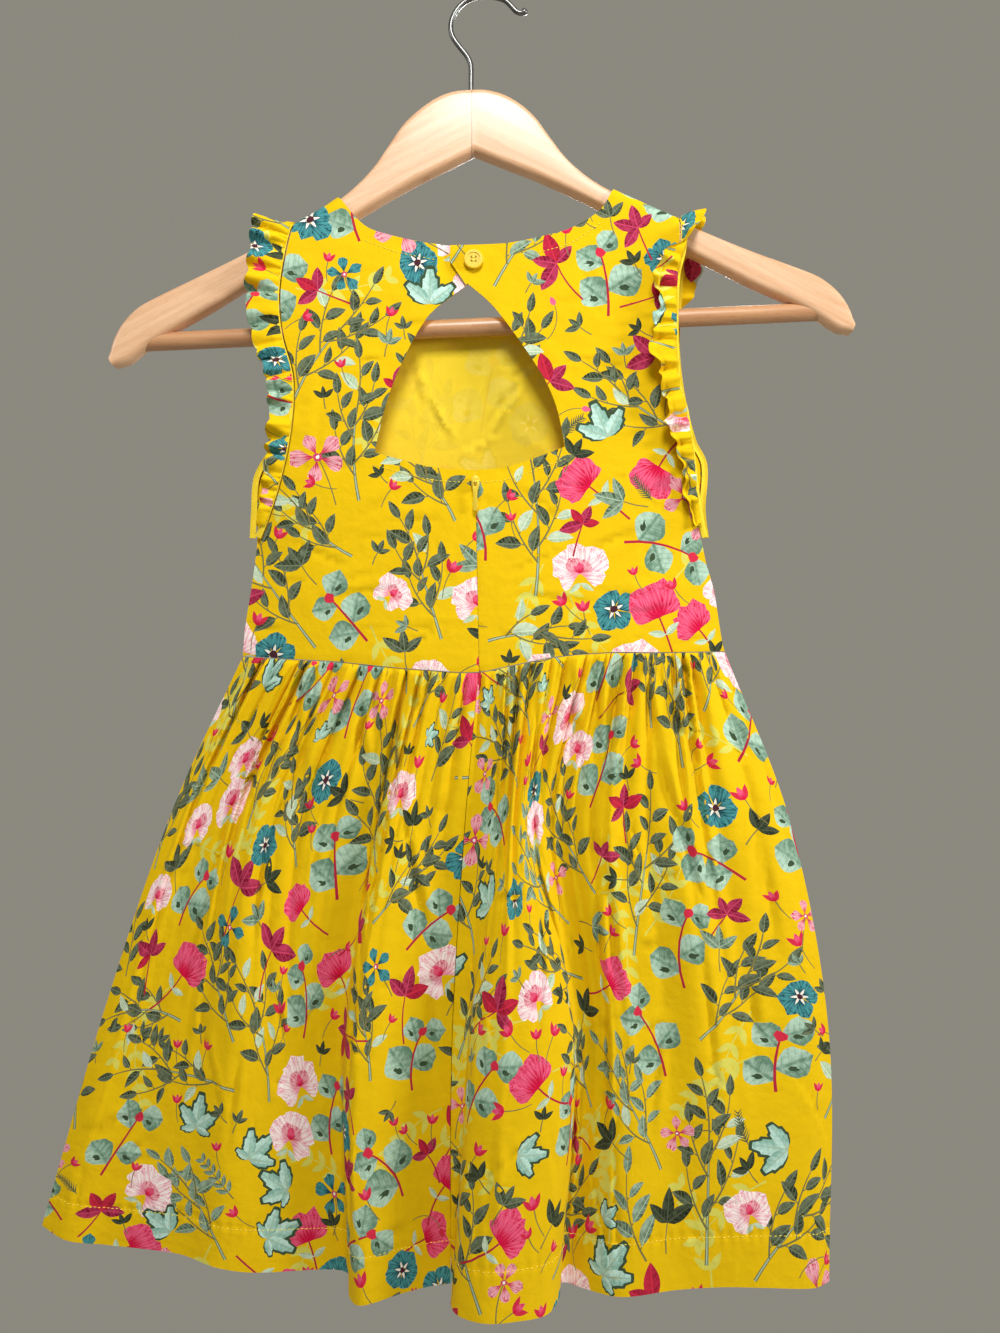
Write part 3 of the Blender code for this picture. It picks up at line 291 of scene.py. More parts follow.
BACK_FOLDS = rows_of(
    FoldRow,
    (0.000, -185, 0.75, -224, 0.75, -262, 0.75, -725),
    (0.028, -178, 5, -214, 5, -246, 6, -731),
    (0.065, -167, 7, -199, 5, -225, 4, -734.5),
    (0.145, -143, 13, -162, 12, -178, 10, -737),
    (0.185, -130, 17, -143, 18, -155, 17, -741),
    (0.222, -119, 13, -126, 14, -134, 15, -745),
    (0.299, -86, 14, -97, 10, -92, 7, -747.5),
    (0.330, -67, 13, -84, 9, -80, 6, -751),
    (0.359, -62, 19, -79, 21, -78, 18, -757),
    (0.385, -55, 23, -71, 28, -70, 29, -756),
    (0.424, -42, 19, -52, 22, -49, 21, -754),
    (0.464, -26, 16, -33, 16, -32, 13, -754),
    (0.492, -11, 16, -18, 15, -19, 11, -753.5),
    (0.508, -3, 17, -11, 18, -14, 14, -753),
    (0.530, 3, 20, -8, 28, -19, 29, -753),
    (0.553, 9, 25, -3, 37, -15, 43, -753),
    (0.580, 14, 28, 9, 43, 0, 51, -753),
    (0.611, 19, 29, 25, 43, 18, 49, -753),
    (0.641, 24, 27, 40, 38, 34, 43, -753),
    (0.671, 29, 22, 49, 28, 42, 29, -751.5),
    (0.699, 35, 17, 52, 18, 42, 16, -751.5),
    (0.722, 42, 15, 58, 13, 48, 11, -753),
    (0.745, 51, 17, 65, 17, 57, 16, -753.5),
    (0.785, 66, 23, 78, 23, 78, 23, -754.5),
    (0.839, 92, 19, 104, 18, 110, 16, -754.5),
    (0.881, 112, 22, 127, 21, 137, 14, -754),
    (0.927, 135, 14, 155, 13, 164, 13, -755),
    (0.972, 166, 8, 188, 8, 191, 9, -757.5),
    (1.000, 180, 0.75, 203, 0.75, 203, 0.75, -758),
)
FRONT_FOLDS = rows_of(
    FoldRow,
    (0.00, -185, 0.75, -224, 0.75, -262, 0.75, -725),
    (0.06, -172, 6, -206, 6, -240, 7, -730),
    (0.13, -146, 14, -174, 15, -203, 17, -735),
    (0.20, -122, 11, -146, 8, -170, 8, -739),
    (0.28, -93, 17, -112, 20, -130, 23, -742),
    (0.35, -68, 13, -81, 10, -97, 9, -745),
    (0.43, -39, 18, -46, 22, -56, 25, -748),
    (0.50, -12, 13, -14, 10, -22, 9, -749),
    (0.57, 14, 19, 20, 22, 14, 25, -750),
    (0.65, 44, 13, 54, 11, 52, 10, -750.5),
    (0.73, 74, 18, 88, 21, 88, 24, -751),
    (0.80, 100, 12, 120, 9, 124, 9, -752),
    (0.87, 128, 14, 150, 15, 154, 17, -753),
    (0.94, 159, 6, 184, 6, 186, 7, -756),
    (1.00, 180, 0.75, 203, 0.75, 203, 0.75, -758),
)
FOLD_DOWN = (0.0, 0.27, 0.61, 1.0)
SKIRT_CUT_WIDTH = 585.0
CENTRE_SHARE = 0.4895
GATHERS = 34
ZIP_FLAT = 0.07
ZIP_FLAT_LEFT = 0.35
HEM_DOWN = 355.0
LAST_FREE_DOWN = 285.0
HEM_FOLD = 26.0
CREASE_STRENGTH = 2.1


class GatherRow(NamedTuple):
    """How high the gathers' waves stand at a distance under the waist seam."""

    down: float
    height: float


GATHER_FADE = rows_of(
    GatherRow,
    (0, 1.5), (8, 2.6), (26, 2.5), (60, 1.7), (120, 0.8), (200, 0.3), (280, 0.0),
)

FRILL_LEFT = rows_of(
    FrillRow,
    (0, 5, 0.1), (0.12, 12, 0.1), (0.3, 16, 0), (0.42, 19, 0), (0.5, 21, 0), (0.62, 16, 0.4), (0.75, 13, 1),
    (0.9, 10, 1), (1, 5, 1),
)
FRILL_RIGHT = rows_of(
    FrillRow,
    (0, 5, 1), (0.12, 13, 1), (0.3, 16, 1), (0.42, 14, 0.85), (0.5, 14, 0), (0.6, 15, 0.1), (0.7, 13, 0.9),
    (0.82, 12, 1), (0.9, 10, 1), (1, 5, 1),
)
FRILL_WAVES = 32
FRILL_START = 16.0
BINDING_START = 8.0
BINDING_WIDTH = 3.6
FRILL_FULLNESS = 1.45
BUTTON_PLACE = Point(-6.8, -157.8)


def hanger_to_world() -> Matrix:
    """The hanger's own frame, which leans a little, in the garment's frame."""
    return Matrix.Translation(HANGER_TOP) @ Matrix.Rotation(-HANGER_TILT, 4, "Y")


def arm_line() -> tuple[Array, Array]:
    """The hanger's upper edge in the garment's frame, from left to right, as X and Z."""
    rows = [(row.left, row.z) for row in reversed(ARM_TOP) if row.left]
    rows += [(row.right, row.z) for row in ARM_TOP]
    placed = [hanger_to_world() @ Vector((x, 0, z)) for x, z in rows]
    return np.array([p.x for p in placed]), np.array([p.z for p in placed])


ARM_X, ARM_Z = arm_line()


def arm_top(x: Array) -> Array:
    """The height of the hanger's upper edge."""
    return through(ARM_X, ARM_Z, x)


def waist_z(x: Array) -> Array:
    """The height of the waist seam."""
    return table(WAIST, "x", "z", x)


def body_at(z: Array, name: str) -> Array:
    """One column of the bodice's table at a height."""
    return through([-row.z for row in BODY], column(BODY, name), -np.asarray(z, float))


def lens(x: Array, z: Array, side: int) -> Array:
    """How far a bodice panel stands from the middle plane, more in its middle than at its sides."""
    left, right, edge = body_at(z, "left"), body_at(z, "right"), body_at(z, "edge")
    depth = body_at(z, "back" if side < 0 else "front")
    out = np.minimum(np.abs(x - (left + right) / 2) / ((right - left) / 2), 1.0)
    return edge + (depth - edge) * (1 - out**BODY_ROUND)


def shoulder_height(x: Array) -> Array:
    """The flat height at which a panel meets its shoulder seam."""
    return arm_top(x) - WRAP_DROP + WRAP_LENGTH


def bodice_point(x: Array, height: Array, side: int, lift: Array | float = 0.0) -> Array:
    """Lays a flat bodice point on the hanging form.

    Args:
        x: Across, to the right as seen from the back.
        height: Up the flat panel.
        side: -1 for the back and 1 for the front.
        lift: How far the point is moved outwards.

    Returns:
        The points, one a row.
    """
    foot = arm_top(x) - WRAP_DROP
    angle = np.clip((height - foot) / WRAP_LENGTH, 0.0, 1.0) * np.pi / 2
    reach = WRAP / (np.cos(angle) ** 3 + np.sin(angle) ** 3) ** (1 / 3) + lift
    wide = lens(x, height, side) / WRAP
    over = height > foot
    flat_y = lens(x, height, side) + lift
    y = np.where(over, reach * np.cos(angle) * wide, flat_y)
    z = np.where(over, foot + reach * np.sin(angle), height)
    return np.stack([x, side * y, z], axis=-1)


def troughs(u: Array, v: Array, rows: Sequence[CreaseRow]) -> Array:
    """How far creases push the cloth at flat points: each is a trough with a softer ridge beside it."""
    total = np.zeros(np.shape(u))
    for row in rows:
        c, s = np.cos(np.radians(row.angle)), np.sin(np.radians(row.angle))
        along = ((u - row.u) * c + (v - row.v) * s) / (row.length / 2)
        across = (-(u - row.u) * s + (v - row.v) * c) / (CREASE_SHARE * row.width)
        fade = np.clip(1 - along * along, 0, None) ** 2
        valley = np.exp(-(np.abs(across) ** VALLEY_POINT))
        ridge = np.exp(-((across - RIDGE_PLACE) ** 2))
        total += row.depth * fade * (RIDGE_HEIGHT * ridge - valley)
    return total


def scattered_creases(
    seed: int, box: tuple[float, float, float, float], count: int, lean: float, length: float, depth: float
) -> list[CreaseRow]:
    """Small uneven creases over a flat box.

    Args:
        seed: Keeps them the same in every run.
        box: Lowest and highest u, then lowest and highest v.
        count: How many.
        lean: Their main direction, in degrees.
        length: Their usual length.
        depth: Their usual depth.

    Returns:
        The creases.
    """
    rng = np.random.default_rng(seed)
    rows = []
    for _ in range(count):
        rows.append(CreaseRow(
            rng.uniform(box[0], box[1]), rng.uniform(box[2], box[3]), lean + rng.normal(0, 16),
            length * rng.uniform(0.5, 1.6), rng.uniform(1.6, 4.2), depth * rng.uniform(0.3, 1.3),
        ))
    return rows


# Flat print


def linear(hex_colour: str) -> tuple[float, float, float, float]:
    """An sRGB hex colour as linear light."""
    parts = [int(hex_colour[i:i + 2], 16) / 255 for i in (1, 3, 5)]
    return (*[p / 12.92 if p <= 0.04045 else ((p + 0.055) / 1.055) ** 2.4 for p in parts], 1.0)


class Drawn(Enum):
    """How a printed shape is shaded inside its outline."""

    FLAT = 0.0
    LEAF = 1.0
    PETAL = 2.0
    WASH = 3.0


class Ink(NamedTuple):
    """A printed shape's light and deep tone."""

    light: str
    deep: str


OLIVE = Ink("#79856A", "#2B331E")
DARK_LEAF = Ink("#525C45", "#20271A")
GREY_GREEN = Ink("#A6BFA5", "#4A5E48")
PALE_LEAF = Ink("#D9E6CC", "#A2BC96")
MINT = Ink("#C4E6D9", "#86B3A3")
MINT_EDGE = Ink("#3C5038", "#2C3A2A")
SAGE = Ink("#B4D2BC", "#63866F")
CRIMSON = Ink("#CC4468", "#7C0C2E")
SCARLET = Ink("#D22C46", "#9A1834")
MAGENTA = Ink("#F0648A", "#D00E40")
PINK = Ink("#F4B6C0", "#C8234C")
BLUSH = Ink("#FFF4F0", "#EC92A6")
TEAL = Ink("#4C9A9E", "#0B3D4C")
PALE = Ink("#F1EDDF", "#B9C6B0")
GHOST = Ink("#D9D25A", "#C4C464")
BRANCH = Ink("#7B7648", "#4A4527")
RED_STEM = Ink("#B3263C", "#8A1A30")
DARK_EYE = Ink("#4A2430", "#33151F")
CREAM_EYE = Ink("#F5EFE2", "#DCCFC0")


class Shape(NamedTuple):
    """One printed shape: its outline, and the frame of its own that scales its shading."""

    outline: Array
    origin: Array
    angle: float
    length: float
    half: float
    ink: Ink
    drawn: Drawn


def turned(points: Array, angle: float) -> Array:
    """Flat points turned about the origin."""
    c, s = np.cos(angle), np.sin(angle)
    return points @ np.array([[c, s], [-s, c]])


def blade(
    origin: Array, angle: float, length: float, width: float, ink: Ink, drawn: Drawn = Drawn.LEAF,
    swell: float = 0.8, bend: float = 0.0, count: int = 7,
) -> Shape:
    """A leaf or petal.

    Args:
        origin: Its root.
        angle: The way that it points.
        length: From root to tip.
        width: At its widest.
        ink: Its two tones.
        drawn: How it is shaded.
        swell: Under 1 it is widest near the root, over 1 near the tip.
        bend: How far its middle line bows, as a share of the length.
        count: Points along each side.

    Returns:
        The shape.
    """
    t = np.linspace(0, 1, count)
    half = width / 2 * np.sin(np.pi * t**swell) ** 0.85
    bow = bend * length * 4 * t * (1 - t)
    right = np.stack([t * length, bow - half], axis=1)
    left = np.stack([t * length, bow + half], axis=1)[::-1]
    outline = turned(np.concatenate([right, left[1:-1]]), angle) + origin
    return Shape(outline, np.asarray(origin, float), angle, length, width / 2, ink, drawn)


def ribbon(path: Array, start: float, end: float, ink: Ink) -> Shape:
    """A stem: a narrow band along a path, from its first width to its last."""
    path = np.asarray(path, float)
    way = np.gradient(path, axis=0)
    way /= np.maximum(np.hypot(*way.T)[:, None], 1e-6)
    side = np.stack([-way[:, 1], way[:, 0]], axis=1) * np.linspace(start, end, len(path))[:, None] / 2
    outline = np.concatenate([path - side, (path + side)[::-1]])
    return Shape(outline, path[0], 0.0, 10.0, 1.0, ink, Drawn.FLAT)


def arc(origin: Array, angle: float, length: float, bend: float, count: int) -> tuple[Array, Array]:
    """A stem's path and the way it points along it: it turns by bend radians from root to tip."""
    t = np.linspace(0, 1, count)
    way = angle + bend * t
    steps = np.stack([np.cos(way), np.sin(way)], axis=1) * length / (count - 1)
    path = np.concatenate([[[0.0, 0.0]], np.cumsum(steps[:-1], axis=0)]) + origin
    return path, way


def ahead(at: Array, angle: float, reach: float) -> Array:
    """The point a distance away in a direction."""
    return at + np.array([np.cos(angle), np.sin(angle)]) * reach


@dataclass
class Sprig:
    """Makes the print's motifs. Each method returns a motif's shapes, from the bottom layer up."""

    rng: np.random.Generator

    def ragged(self, shape: Shape, rough: float) -> Shape:
        """The shape with an uneven edge away from its root, as a brush leaves it."""
        push = 1 + self.rng.normal(0, rough, len(shape.outline))
        push[0] = 1
        return shape._replace(outline=shape.origin + (shape.outline - shape.origin) * push[:, None])

    def petal(
        self, at: Array, lean: float, reach: float, width: float, ink: Ink, swell: float = 1.7
    ) -> Shape:
        """A brushed petal with an uneven edge."""
        return self.ragged(blade(at, lean, reach, width, ink, Drawn.PETAL, swell, count=9), 0.045)

    def blot(self, at: Array, radius: float, ink: Ink, count: int = 9) -> Shape:
        """An uneven round patch."""
        turn = np.arange(count) * 2 * np.pi / count
        reach = radius * (1 + 0.25 * self.rng.uniform(-1, 1, count))
        outline = np.stack([np.cos(turn) * reach, np.sin(turn) * reach], axis=1) + at
        return Shape(outline, np.asarray(at, float), 0.0, radius, radius, ink, Drawn.FLAT)

    def twig(self, at: Array, angle: float, length: float, bend: float, ink: Ink, leaf: float) -> list[Shape]:
        """A stem with alternate leaves and one at its tip."""
        rng = self.rng
        path, way = arc(at, angle, length, bend, 7)
        shapes = [ribbon(path, 0.9, 0.5, BRANCH)]
        count = max(2, int(length / 7.0))
        for k in range(count):
            t = 0.15 + 0.72 * k / count
            place = np.array([np.interp(t * 6, range(7), path[:, i]) for i in (0, 1)])
            side = 1 if k % 2 else -1
            lean = np.interp(t * 6, range(7), way) + side * rng.uniform(0.6, 1.05)
            size = leaf * rng.uniform(0.8, 1.2) * (1 - 0.25 * t)
            foot = ahead(place, lean, 1.4)
            shapes.append(ribbon(np.array([place, foot]), 0.6, 0.5, BRANCH))
            tint = PALE_LEAF if rng.random() < 0.14 else ink
            shapes.append(blade(foot, lean, size, size * rng.uniform(0.38, 0.5), tint, bend=side * -0.07))
        shapes.append(blade(path[-1], way[-1], leaf * 0.9, leaf * 0.36, ink))
        return shapes

    def shrub(self, at: Array, angle: float, length: float, bend: float) -> list[Shape]:
        """A forked branch, full of leaves, whose thick stem shows two tones."""
        rng = self.rng
        ink = OLIVE if rng.random() < 0.85 else GREY_GREEN
        path, way = arc(at, angle, length * 0.62, bend * 0.6, 8)
        shapes = [ribbon(path, 1.6, 0.8, BRANCH), ribbon(path, 0.7, 0.3, GREY_GREEN)]
        for k, side in ((2, 1), (3, -1), (5, 1), (6, -1)):
            lean = way[k] + side * rng.uniform(0.45, 0.8)
            shapes += self.twig(path[k], lean, length * rng.uniform(0.3, 0.42), -side * 0.5, ink, 11.5)
        shapes += self.twig(path[-1], way[-1], length * 0.38, 0.3, ink, 11.0)
        return shapes

    def leafy_branch(self, at: Array, angle: float, length: float, bend: float) -> list[Shape]:
        """A single branch with leaves on alternate sides."""
        ink = [OLIVE, DARK_LEAF, OLIVE, GREY_GREEN][self.rng.integers(4)]
        return self.twig(at, angle, length, bend, ink, 13.0)

    def catkins(self, at: Array, angle: float, length: float, bend: float) -> list[Shape]:
        """An upright stem with pale buds in pairs towards its tip, and two leaves at its foot."""
        path, way = arc(at, angle, length, bend * 0.5, 10)
        shapes = [ribbon(path, 0.9, 0.4, BRANCH)]
        for k in range(4, 10):
            for side in (-1, 1):
                size = 4.6 - 0.25 * k
                lean = way[k] + side * 0.75
                shapes.append(blade(path[k], lean, size, size * 0.6, PALE, Drawn.WASH, 1.2, count=5))
        for side in (-1, 1):
            shapes.append(blade(path[1], way[1] + side * 0.8, 9.5, 3.6, OLIVE))
        return shapes

    def fine_branch(self, at: Array, angle: float, length: float, bend: float) -> list[Shape]:
        """A thin stem with small pale leaves in pairs."""
        ink = PALE_LEAF if self.rng.random() < 0.5 else GREY_GREEN
        path, way = arc(at, angle, length, bend, 7)
        shapes = [ribbon(path, 0.7, 0.4, BRANCH)]
        for k in range(1, 7):
            for side in (-1, 1):
                shapes.append(blade(path[k], way[k] + side * 0.8, 7.0 - 0.4 * k, 2.5, ink, count=5))
        return shapes

    def needles(self, at: Array, angle: float, length: float, bend: float) -> list[Shape]:
        """A short sprig with many thin needles."""
        path, way = arc(at, angle, length, bend, 11)
        shapes = [ribbon(path, 0.6, 0.4, BRANCH)]
        for k in range(1, 11):
            for side in (-1, 1):
                tip = ahead(path[k], way[k] + side * 0.75, 4.6 - 0.2 * k)
                shapes.append(ribbon(np.array([path[k], tip]), 0.75, 0.2, DARK_LEAF))
        return shapes

    def open_flower(self, at: Array, angle: float, size: float) -> list[Shape]:
        """A teal flower with five or six petals, a pale eye and dark rays."""
        rng = self.rng
        count = int(rng.integers(5, 7))
        shapes = []
        for k in range(count):
            lean = angle + k * 2 * np.pi / count + rng.normal(0, 0.07)
            shapes.append(self.petal(at, lean, size * rng.uniform(0.86, 1.1), size * 0.92, TEAL))
        for k in range(count):
            lean = angle + k * 2 * np.pi / count
            shapes.append(blade(at, lean, size * 0.46, size * 0.13, CREAM_EYE, Drawn.FLAT, count=5))
        shapes.append(self.blot(at, size * 0.16, DARK_EYE))
        return shapes

    def star_flower(self, at: Array, angle: float, size: float) -> list[Shape]:
        """A flower of four or five narrow petals, spread like a star, on a thin stem."""
        rng = self.rng
        count = 4 if rng.random() < 0.6 else 5
        ink = TEAL if rng.random() < 0.25 else PINK
        down = angle + np.pi + rng.normal(0, 0.4)
        stem, _ = arc(at, down, size * rng.uniform(1.6, 2.6), rng.uniform(-0.7, 0.7), 6)
        shapes = [ribbon(stem, 0.5, 0.6, BRANCH)]
        for k in range(count):
            lean = angle + k * 2 * np.pi / count + rng.normal(0, 0.12)
            reach = size * rng.uniform(0.9, 1.1)
            shapes.append(self.petal(ahead(at, lean, size * 0.08), lean, reach, reach * 0.62, ink, 1.9))
        shapes.append(self.blot(at, size * 0.17, CRIMSON))
        shapes.append(self.blot(at, size * 0.08, CREAM_EYE, count=6))
        return shapes

    def blossom(self, at: Array, angle: float, size: float) -> list[Shape]:
        """A loose pale blossom seen from a little to the side, with a red heart off its middle."""
        rng = self.rng
        shapes = []
        for k, turn in enumerate((-1.9, 1.9, -1.0, 1.0, 0.1)):
            reach = size * (0.82 if k < 2 else 1.0) * rng.uniform(0.88, 1.12)
            shapes.append(self.petal(at, angle + turn + rng.normal(0, 0.1), reach, reach * 0.98, BLUSH, 1.8))
        for turn in (-0.7, 0.5):
            reach = size * rng.uniform(0.5, 0.64)
            shapes.append(self.petal(at, angle + turn, reach, reach * 0.95, PINK, 1.6))
        shapes.append(self.ragged(blade(at, angle, size * 0.4, size * 0.34, MAGENTA, Drawn.PETAL, 1.3), 0.1))
        for side in (-1, 1):
            foot = ahead(at, angle + np.pi, size * 0.32)
            shapes.append(blade(foot, angle + np.pi + side * 0.95, size * 0.5, size * 0.19, PALE_LEAF))
        return shapes

    def poppy(self, at: Array, angle: float, size: float) -> list[Shape]:
        """A deep pink cup seen from its side, on a red stem with two pale leaves."""
        rng = self.rng
        stem, way = arc(at, angle + np.pi, size * 1.5, rng.uniform(-0.7, 0.7), 7)
        shapes = [ribbon(stem, 0.8, 1.0, RED_STEM)]
        for turn, reach in ((-0.95, 0.85), (0.95, 0.85), (-0.5, 1.05), (0.5, 1.05), (0.0, 1.0)):
            length = size * reach * rng.uniform(0.92, 1.08)
            shapes.append(self.petal(at, angle + turn, length, length * 0.78, MAGENTA, 1.55))
        for side in (-1, 1):
            shapes.append(blade(stem[2], way[2] + np.pi + side * 1.15, size * 0.52, size * 0.2, PALE_LEAF))
        return shapes

    def round_leaves(self, at: Array, angle: float, length: float, bend: float) -> list[Shape]:
        """Broad round leaves on a red stem, smudged dark where they join it."""
        rng = self.rng
        path, way = arc(at, angle, length, bend, 6)
        shapes = []
        for k, side in ((1, 1), (2, -1), (4, 1), (5, -1)):
            lean = way[k] + side * rng.uniform(0.7, 1.15)
            size = rng.uniform(15, 20) * (1 - 0.05 * k)
            leaf = blade(path[k], lean, size, size * 0.94, SAGE, Drawn.WASH, 1.1, count=9)
            shapes.append(self.ragged(leaf, 0.03))
            root = ahead(path[k], lean + 0.3 * side, size * 0.3)
            smudge = blade(root, lean + 0.5 * side, size * 0.3, size * 0.16, MINT_EDGE, Drawn.FLAT)
            shapes.append(self.ragged(smudge, 0.15))
        shapes.append(ribbon(path, 1.3, 0.8, RED_STEM))
        shapes.append(self.blot(path[-1], 2.4, SCARLET))
        return shapes

    def jagged_leaf(self, at: Array, angle: float, size: float) -> list[Shape]:
        """A leaf with three to five long pointed lobes, a toothed dark edge and drawn veins."""
        rng = self.rng
        every_lobe = [(0.0, 1.0), (0.85, 0.85), (-0.85, 0.85), (1.75, 0.5), (-1.75, 0.5)]
        lobes = every_lobe[:int(rng.integers(3, 6))]
        shapes = []
        for grown, ink, drawn in ((1.0, MINT_EDGE, Drawn.FLAT), (0.9, MINT, Drawn.WASH)):
            for turn, reach in lobes:
                length = size * reach * grown
                leaf = blade(at, angle + turn, length, length * 0.52 * (grown**2), ink, drawn, 0.85, count=9)
                away = leaf.outline - leaf.origin
                teeth = np.where(np.arange(len(away)) % 2, 1.07, 0.95)[:, None]
                shapes.append(leaf._replace(outline=leaf.origin + away * teeth))
        for turn, reach in lobes:
            vein = np.array([at, ahead(at, angle + turn, size * reach * 0.78)])
            shapes.append(ribbon(vein, 0.6, 0.15, GREY_GREEN))
        return shapes

    def red_leaves(self, at: Array, angle: float, size: float) -> list[Shape]:
        """Three or four crimson leaves with pale veins, which meet at a stem."""
        rng = self.rng
        stem, _ = arc(at, angle + np.pi, size * 1.5, rng.uniform(-0.6, 0.6), 5)
        shapes = [ribbon(stem, 0.6, 0.9, RED_STEM)]
        for turn in (-1.15, -0.1, 1.0, 2.2)[:rng.integers(3, 5)]:
            reach = size * rng.uniform(0.75, 1.1)
            ink = SCARLET if rng.random() < 0.25 else CRIMSON
            shapes.append(blade(at, angle + turn, reach, reach * 0.5, ink, Drawn.LEAF, 0.9, count=9))
        return shapes

    def tendril(self, at: Array, angle: float, length: float, bend: float) -> list[Shape]:
        """A thin line that curls, with a bud at its end."""
        path, way = arc(at, angle, length, bend * 2.0, 9)
        ink = [SCARLET, MAGENTA, OLIVE][self.rng.integers(3)]
        bud = blade(path[-1], way[-1], 4.6, 2.8, ink, Drawn.FLAT, count=5)
        return [ribbon(path, 0.45, 0.4, BRANCH), bud]

    def small_bud(self, at: Array, angle: float, size: float) -> list[Shape]:
        """A red bud between two pointed sepals."""
        shapes = [ribbon(arc(at, angle + np.pi, size * 1.6, 0.5, 4)[0], 0.5, 0.4, BRANCH)]
        for turn in (-0.6, 0.6):
            shapes.append(blade(at, angle + turn, size * 0.9, size * 0.34, SCARLET, Drawn.FLAT, count=5))
        shapes.append(blade(at, angle, size * 0.8, size * 0.36, MAGENTA, Drawn.PETAL, 1.0))
        return shapes

    def small_leaves(self, at: Array, angle: float, size: float) -> list[Shape]:
        """Three loose leaves on a short stem."""
        ink = [DARK_LEAF, GREY_GREEN, OLIVE, DARK_LEAF][self.rng.integers(4)]
        shapes = [ribbon(arc(at, angle + np.pi, size * 0.9, 0.3, 3)[0], 0.5, 0.6, BRANCH)]
        for turn in (-0.9, 0.05, 0.95):
            reach = size * self.rng.uniform(0.85, 1.1)
            shapes.append(blade(at, angle + turn, reach, reach * 0.42, ink))
        return shapes

    def ghost_branch(self, at: Array, angle: float, length: float, bend: float) -> list[Shape]:
        """A faint branch, only a little paler than the cloth."""
        path, way = arc(at, angle, length, bend, 6)
        shapes = [ribbon(path, 0.8, 0.4, GHOST)]
        for k in range(1, 6):
            for side in (-1, 1):
                lean = way[k] + side * 0.75
                shapes.append(blade(path[k], lean, 9.5 - 0.6 * k, 3.4, GHOST, Drawn.FLAT, count=5))
        return shapes


class PlanRow(NamedTuple):
    """A kind of motif: its method, its least and greatest size, the room round it, and if it is long."""

    motif: str
    least: float
    most: float
    room: float
    long: bool


PRINT_PLAN = [
    rows_of(
        PlanRow,
        ("shrub", 62, 88, 12.0, True), ("shrub", 50, 70, 11.0, True), ("shrub", 44, 60, 11.0, True),
        ("round_leaves", 26, 36, 14.0, True),
    ),
    rows_of(
        PlanRow,
        ("leafy_branch", 36, 58, 8.5, True), ("blossom", 13.0, 16.0, 13.5, False),
        ("blossom", 12.0, 14.0, 13.0, False), ("poppy", 14.0, 17.0, 13.0, False),
        ("poppy", 13.0, 16.0, 12.5, False), ("jagged_leaf", 17.0, 23.0, 15.0, False),
        ("open_flower", 9.0, 11.5, 11.0, False), ("leafy_branch", 30, 46, 7.5, True),
        ("jagged_leaf", 15.0, 20.0, 14.0, False), ("red_leaves", 14.0, 18.0, 13.0, False),
    ),
    rows_of(
        PlanRow,
        ("star_flower", 9.5, 12.0, 10.5, False), ("red_leaves", 12.5, 16.0, 12.0, False),
        ("catkins", 26, 38, 4.5, True), ("blossom", 9.5, 12.0, 11.0, False),
        ("small_leaves", 11.0, 14.0, 9.5, False), ("red_leaves", 10.0, 13.0, 10.5, False),
    ),
    rows_of(
        PlanRow,
        ("fine_branch", 20, 32, 4.6, True), ("small_leaves", 8.5, 11.0, 7.5, False),
        ("small_bud", 6.5, 8.5, 6.0, False), ("star_flower", 7.5, 9.0, 8.0, False),
        ("needles", 12, 18, 4.5, True), ("jagged_leaf", 9.0, 12.0, 9.0, False),
    ),
    rows_of(
        PlanRow,
        ("tendril", 16, 26, 2.4, True), ("small_bud", 5.0, 6.5, 4.4, False),
        ("small_leaves", 5.5, 7.5, 4.8, False),
    ),
]
DARTS_FOR_EACH_CM2 = (0.5, 1.5, 2.3, 2.2, 1.5)
GHOSTS_FOR_EACH_CM2 = 0.03
PRINT_CROWDING = 0.75
PRINT_SCALE = 1.26
UPRIGHT = np.pi / 2


